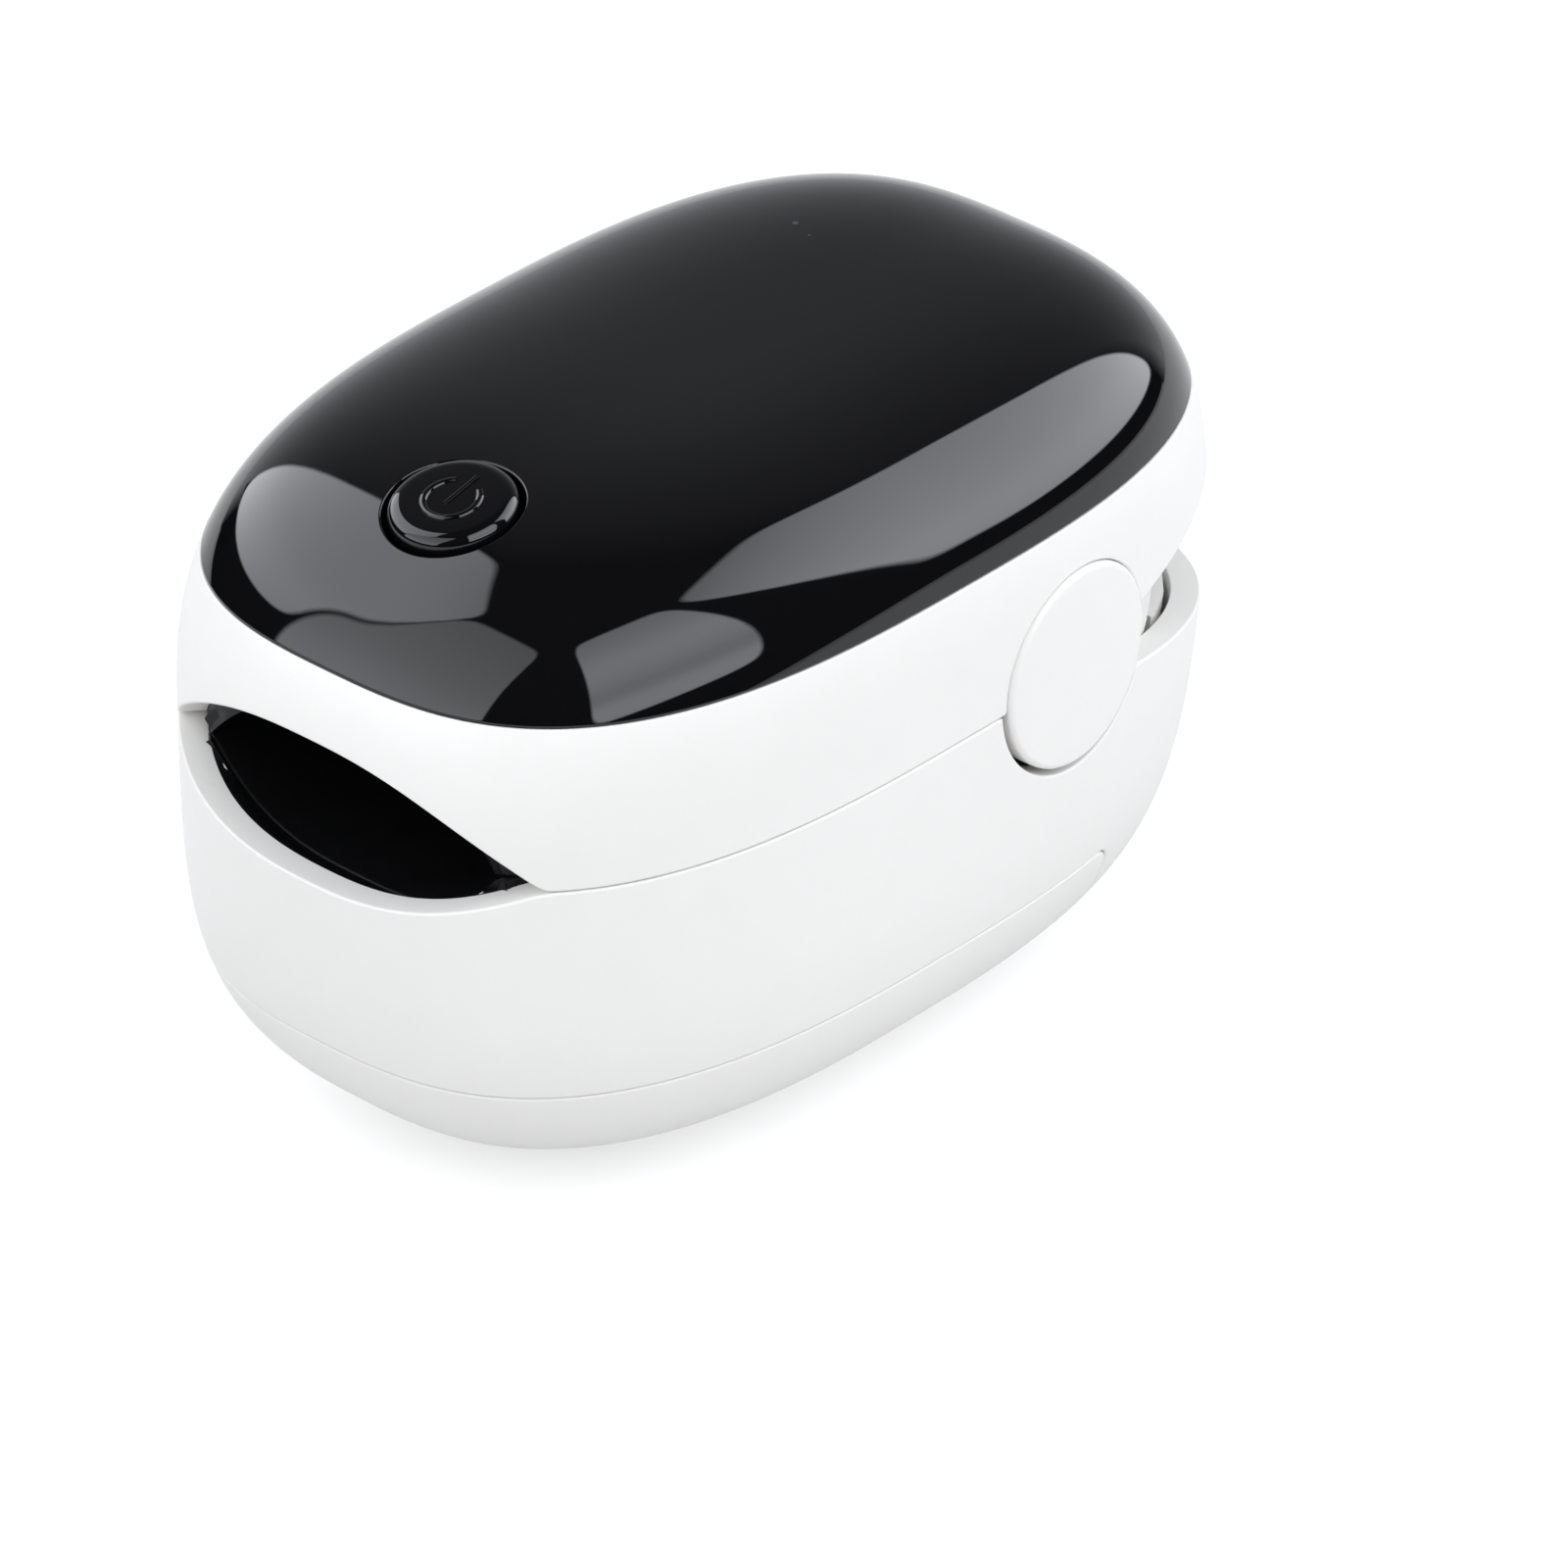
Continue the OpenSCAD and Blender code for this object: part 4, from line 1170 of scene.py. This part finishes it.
# %% Chips, connector and ribbon
epoxy_black = moulded_plastic("chip_epoxy", (0.018, 0.018, 0.02), (0.03, 0.03, 0.032), 0.55, 0.5, 0.00002)
cream_plastic = moulded_plastic("connector_cream", (0.7, 0.64, 0.5), (0.78, 0.73, 0.6), 0.45, 0.3, 0.00002)
ribbon_film, tree, shader = new_material("ribbon_film")
grain = use_group(tree, grain_group, Fine=2500.0, Coarse=300.0)
wires = stripes(tree, axis_value(tree, "X"), 0.0006, 0.5)
tree.links.new(colours(tree, wires, (0.34, 0.12, 0.015), (0.6, 0.26, 0.05)), shader.inputs["Base Color"])
tree.links.new(between(tree, grain.outputs["Mottle"], 0.22, 0.34), shader.inputs["Roughness"])
bump(tree, shader, wires, 0.3, 0.00003)

# %% Display, emitter and sensor
display_glass, tree, shader = new_material("display_glass")
dust = use_group(tree, dust_group, Specks=500.0, Amount=0.4)
across = stripes(tree, axis_value(tree, "X"), 0.0005, 0.85)
down = stripes(tree, axis_value(tree, "Y"), 0.0005, 0.85)
cells = math_node(tree, "MULTIPLY", across, down)
tree.links.new(colours(tree, cells, (0.006, 0.008, 0.012), (0.012, 0.02, 0.035)), shader.inputs["Base Color"])
tree.links.new(between(tree, dust.outputs["Smears"], 0.04, 0.12), shader.inputs["Roughness"])


def cast_resin(name, first, second, low, high):
    """Clear or dark resin over a chip, with the faint flow marks of casting."""
    material, tree, shader = new_material(name)
    grain = use_group(tree, grain_group, Fine=1500.0, Coarse=700.0)
    tree.links.new(colours(tree, grain.outputs["Mottle"], first, second), shader.inputs["Base Color"])
    tree.links.new(between(tree, grain.outputs["Mottle"], low, high), shader.inputs["Roughness"])
    return material


led_lens = cast_resin("emitter_lens", (0.6, 0.12, 0.08), (0.8, 0.3, 0.22), 0.08, 0.16)
sensor_dark = cast_resin("sensor_dark", (0.02, 0.02, 0.04), (0.04, 0.04, 0.07), 0.06, 0.14)

# %% Battery jacket
cell_low, cell_high = size_mm("battery_cell")
jacket, tree, shader = new_material("cell_jacket")
grain = use_group(tree, grain_group, Fine=900.0, Coarse=200.0)
y_value = axis_value(tree, "Y")
dark_end = math_node(tree, "GREATER_THAN", y_value, float(cell_high[1] - 14) * MM)
bare_end = math_node(tree, "GREATER_THAN", y_value, float(cell_high[1] - 1.6) * MM)
foot_end = math_node(tree, "LESS_THAN", y_value, float(cell_low[1] + 0.9) * MM)
bare = math_node(tree, "MAXIMUM", bare_end, foot_end)
body_colour = colours(tree, dark_end, (0.03, 0.09, 0.2), (0.02, 0.02, 0.024))
jacket_colour = colours(tree, bare, body_colour, (0.7, 0.7, 0.72))
tree.links.new(jacket_colour, shader.inputs["Base Color"])
tree.links.new(bare, shader.inputs["Metallic"])
tree.links.new(between(tree, grain.outputs["Mottle"], 0.2, 0.34), shader.inputs["Roughness"])
bump(tree, shader, grain.outputs["Height"], 0.06, 0.00002)

# %% [markdown]
# ## Handing out the finishes
# Each material slot of the record gets one finish, for new pieces and for the CAD parts that stay.

# %% Finishes by slot
FINISHES = {
    "white_shell": white_plastic,
    "white_frame": frame_plastic,
    "black_lens": lens_black,
    "black_silicone": silicone,
    "green_board": board_green,
    "dark_sensor": sensor_dark,
    "black_epoxy": epoxy_black,
    "display_glass": display_glass,
    "clear_led": led_lens,
    "battery_jacket": jacket,
    "bright_steel": bright_steel,
    "spring_steel": spring_steel,
    "amber_film": ribbon_film,
    "cream_plastic": cream_plastic,
}
slots = {s["node"]: s["material_slot"] for s in frame["record"]["subparts"]}


def dress(piece, slot):
    piece.data.materials.clear()
    piece.data.materials.append(FINISHES[slot])


for node, piece in frame["nodes"].items():
    dress(piece, slots[node])
for piece in list(bpy.data.objects):
    if piece.type == "MESH" and "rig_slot" in piece:
        dress(piece, piece["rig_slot"])

# %% [markdown]
# ## Studio
# Black gloss shows its surroundings more than itself, so the studio matters: four large soft panels
# round the object, dark gaps between them, a pale table and a pale wall behind it. Each panel is given by
# the directions of its corners as seen from the object. The camera doesn't see the panels. Black gloss
# mirrors them at full strength, while matte surfaces feel only a share, which no real lamp does: it lets
# the mirrored shapes be bright without washing out the white body.


# %% Light panels
def toward(azimuth, elevation):
    """A direction from the object: azimuth 0 is the rear and 90 the right side."""
    a, e = np.radians(azimuth), np.radians(elevation)
    return np.array([np.cos(e) * np.sin(a), np.cos(e) * np.cos(a), np.sin(e)])


TOP_GLOW = 10.0  # a curve node only holds values up to 1, so profiles are kept as parts of this
EDGE_POWER = 9.0  # how square a panel's soft edge is


def glow(name, profile, on_matte, soft_edge):
    """A light that mirrors show at full strength and matte surfaces feel at a share of it."""
    material = bpy.data.materials.new(name)
    material.use_nodes = True
    tree = material.node_tree
    tree.nodes.clear()
    out, light = tree.nodes.new("ShaderNodeOutputMaterial"), tree.nodes.new("ShaderNodeEmission")
    light.inputs["Color"].default_value = (0.94, 0.955, 1.0, 1)
    cloth, split = tree.nodes.new("ShaderNodeUVMap"), tree.nodes.new("ShaderNodeSeparateXYZ")
    tree.links.new(cloth.outputs[0], split.inputs[0])
    curve = tree.nodes.new("ShaderNodeFloatCurve")
    points = curve.mapping.curves[0].points
    points[0].location, points[1].location = (0, profile[0] / TOP_GLOW), (1, profile[-1] / TOP_GLOW)
    for k, value in enumerate(profile[1:-1], 1):
        points.new(k / (len(profile) - 1), value / TOP_GLOW)
    curve.mapping.update()
    tree.links.new(split.outputs["Y"], curve.inputs["Value"])
    edge = None
    for axis in ("X", "Y"):
        away = math_node(tree, "ABSOLUTE", math_node(tree, "MULTIPLY_ADD", split.outputs[axis], 2.0, -1.0))
        power = math_node(tree, "POWER", away, EDGE_POWER)
        edge = power if edge is None else math_node(tree, "ADD", edge, power)
    inner = math_node(tree, "POWER", edge, 1 / EDGE_POWER)
    mask = between(tree, inner, 1.0, 0.0, 1 - soft_edge, 1.0)
    ray = tree.nodes.new("ShaderNodeLightPath")
    share = between(tree, ray.outputs["Is Glossy Ray"], on_matte * TOP_GLOW, TOP_GLOW, 0, 1)
    level_up = math_node(tree, "MULTIPLY", curve.outputs[0], mask)
    tree.links.new(math_node(tree, "MULTIPLY", level_up, share), light.inputs["Strength"])
    tree.links.new(light.outputs[0], out.inputs["Surface"])
    return material


heart = np.array([0, 0, 30.0])


def panel(name, corners, profile, on_matte, soft_edge=0.05, distance=900.0):
    """A panel by the directions of its corners. Profile is its brightness from the bottom to the top."""
    rays = [toward(*c) for c in corners]
    facing = unit(sum(rays))
    low_a, high_a, high_b, low_b = (heart + ray * distance / (ray @ facing) for ray in rays)
    n = 8
    points, places = [], []
    for i in range(n + 1):
        for k in range(n + 1):
            u, v = i / n, k / n
            points.append((1 - u) * ((1 - v) * low_a + v * high_a) + u * ((1 - v) * low_b + v * high_b))
            places.append((u, v))
    starts = [i * (n + 1) + k for i in range(n) for k in range(n)]
    faces = [(v, v + n + 1, v + n + 2, v + 1) for v in starts]
    piece = new_piece(name, points, faces)
    cloth = piece.data.uv_layers.new(name="cloth")
    for loop in piece.data.loops:
        cloth.data[loop.index].uv = places[loop.vertex_index]
    piece.data.materials.append(glow(name + "_glow", profile, on_matte, soft_edge))
    piece.visible_camera = False
    return piece


MATTE = 0.63
for name, corners, profile, on_matte in (
    ("panel_front", [(-188, 15), (-188, 73), (-112, 64), (-133, 14)], (3.2, 2.9, 2.3, 1.9, 1.6), 1.3),
    ("panel_left", [(-129, 29), (-111, 67), (-67, 57), (-72, 3)], (3.4, 3.7, 3.3, 3.0, 2.4), 0.85),
    ("panel_rear", [(4, 7), (-15, 57), (38, 74), (51, 10)], (4.2, 4.9, 4.4, 3.4, 2.1), 0.7),
    ("panel_right", [(73, 14), (38, 75), (150, 77), (122, 19)], (3.9, 4.1, 3.1, 3.7, 3.9, 3.2, 2.6), 1.1),
):
    panel(name, corners, profile, on_matte * MATTE)
wall_corners = [(-82, -15), (-66, 64), (-10, 64), (8, -15)]
panel("wall", wall_corners, (1.15, 1.0, 0.76, 0.45, 0.2, 0.08, 0.0), 0.3, 0.25)


# %% Table and sky
TABLE = 6000
table_corners = [(x * TABLE, y * TABLE, 0) for x, y in ((-1, -1), (1, -1), (1, 1), (-1, 1))]
table = new_piece("table", table_corners, [(0, 1, 2, 3)])
paper, tree, shader = new_material("table_paper")
fibres = noise_node(tree, 350.0, detail=4.0)
tree.links.new(colours(tree, fibres, (0.58, 0.58, 0.58), (0.62, 0.62, 0.62)), shader.inputs["Base Color"])
tree.links.new(between(tree, fibres, 0.7, 0.8), shader.inputs["Roughness"])
shader.inputs["Specular IOR Level"].default_value = 0.2
shader.inputs["Emission Color"].default_value = (1, 1, 1, 1)
ray = tree.nodes.new("ShaderNodeLightPath")
seen = math_node(tree, "MULTIPLY", ray.outputs["Is Camera Ray"], 0.58)
mirrored_in = math_node(tree, "MULTIPLY", ray.outputs["Is Glossy Ray"], 0.4)
tree.links.new(math_node(tree, "ADD", seen, mirrored_in), shader.inputs["Emission Strength"])
table.data.materials.append(paper)

world = bpy.data.worlds.new("studio")
bpy.context.scene.world = world
world.use_nodes = True
tree = world.node_tree
ray, sky = tree.nodes.new("ShaderNodeLightPath"), tree.nodes["Background"]
fill = math_node(tree, "MULTIPLY", ray.outputs["Is Diffuse Ray"], 0.62)
sky.inputs["Color"].default_value = (1, 1, 1, 1)
tree.links.new(math_node(tree, "MAXIMUM", ray.outputs["Is Camera Ray"], fill), sky.inputs["Strength"])

# %% [markdown]
# ## Camera
# A long lens from the front right and above. The distance and focal length keep the gentle perspective
# that such a small object has in a close studio view.

# %% Camera
AZIMUTH, ELEVATION, DISTANCE = 42.7, 31.26, 600.0
a, e = np.radians(AZIMUTH), np.radians(ELEVATION)
right = np.array([np.cos(a), np.sin(a), 0])
up = np.array([-np.sin(a) * np.sin(e), np.cos(a) * np.sin(e), np.cos(e)])
back = np.array([np.sin(a) * np.cos(e), -np.cos(a) * np.cos(e), np.sin(e)])
camera_at = np.array([0, 0, BODY_H / 2]) + DISTANCE * back
aim = np.array([0, 0, BODY_H / 2]) + 4.1 * right - 5.7 * up
camera_data = bpy.data.cameras.new("camera")
camera_data.lens, camera_data.sensor_width = 283.85, 36.0
camera_data.clip_start, camera_data.clip_end = 0.01, 30.0
camera = bpy.data.objects.new("camera", camera_data)
bpy.context.collection.objects.link(camera)
camera.location = camera_at * MM
camera.rotation_euler = Vector(aim - camera_at).to_track_quat("-Z", "Y").to_euler()
bpy.context.scene.camera = camera
bpy.context.scene.view_settings.view_transform = "Standard"
print("camera at", np.round(camera_at, 1), "mm")

bpy.context.view_layer.update()
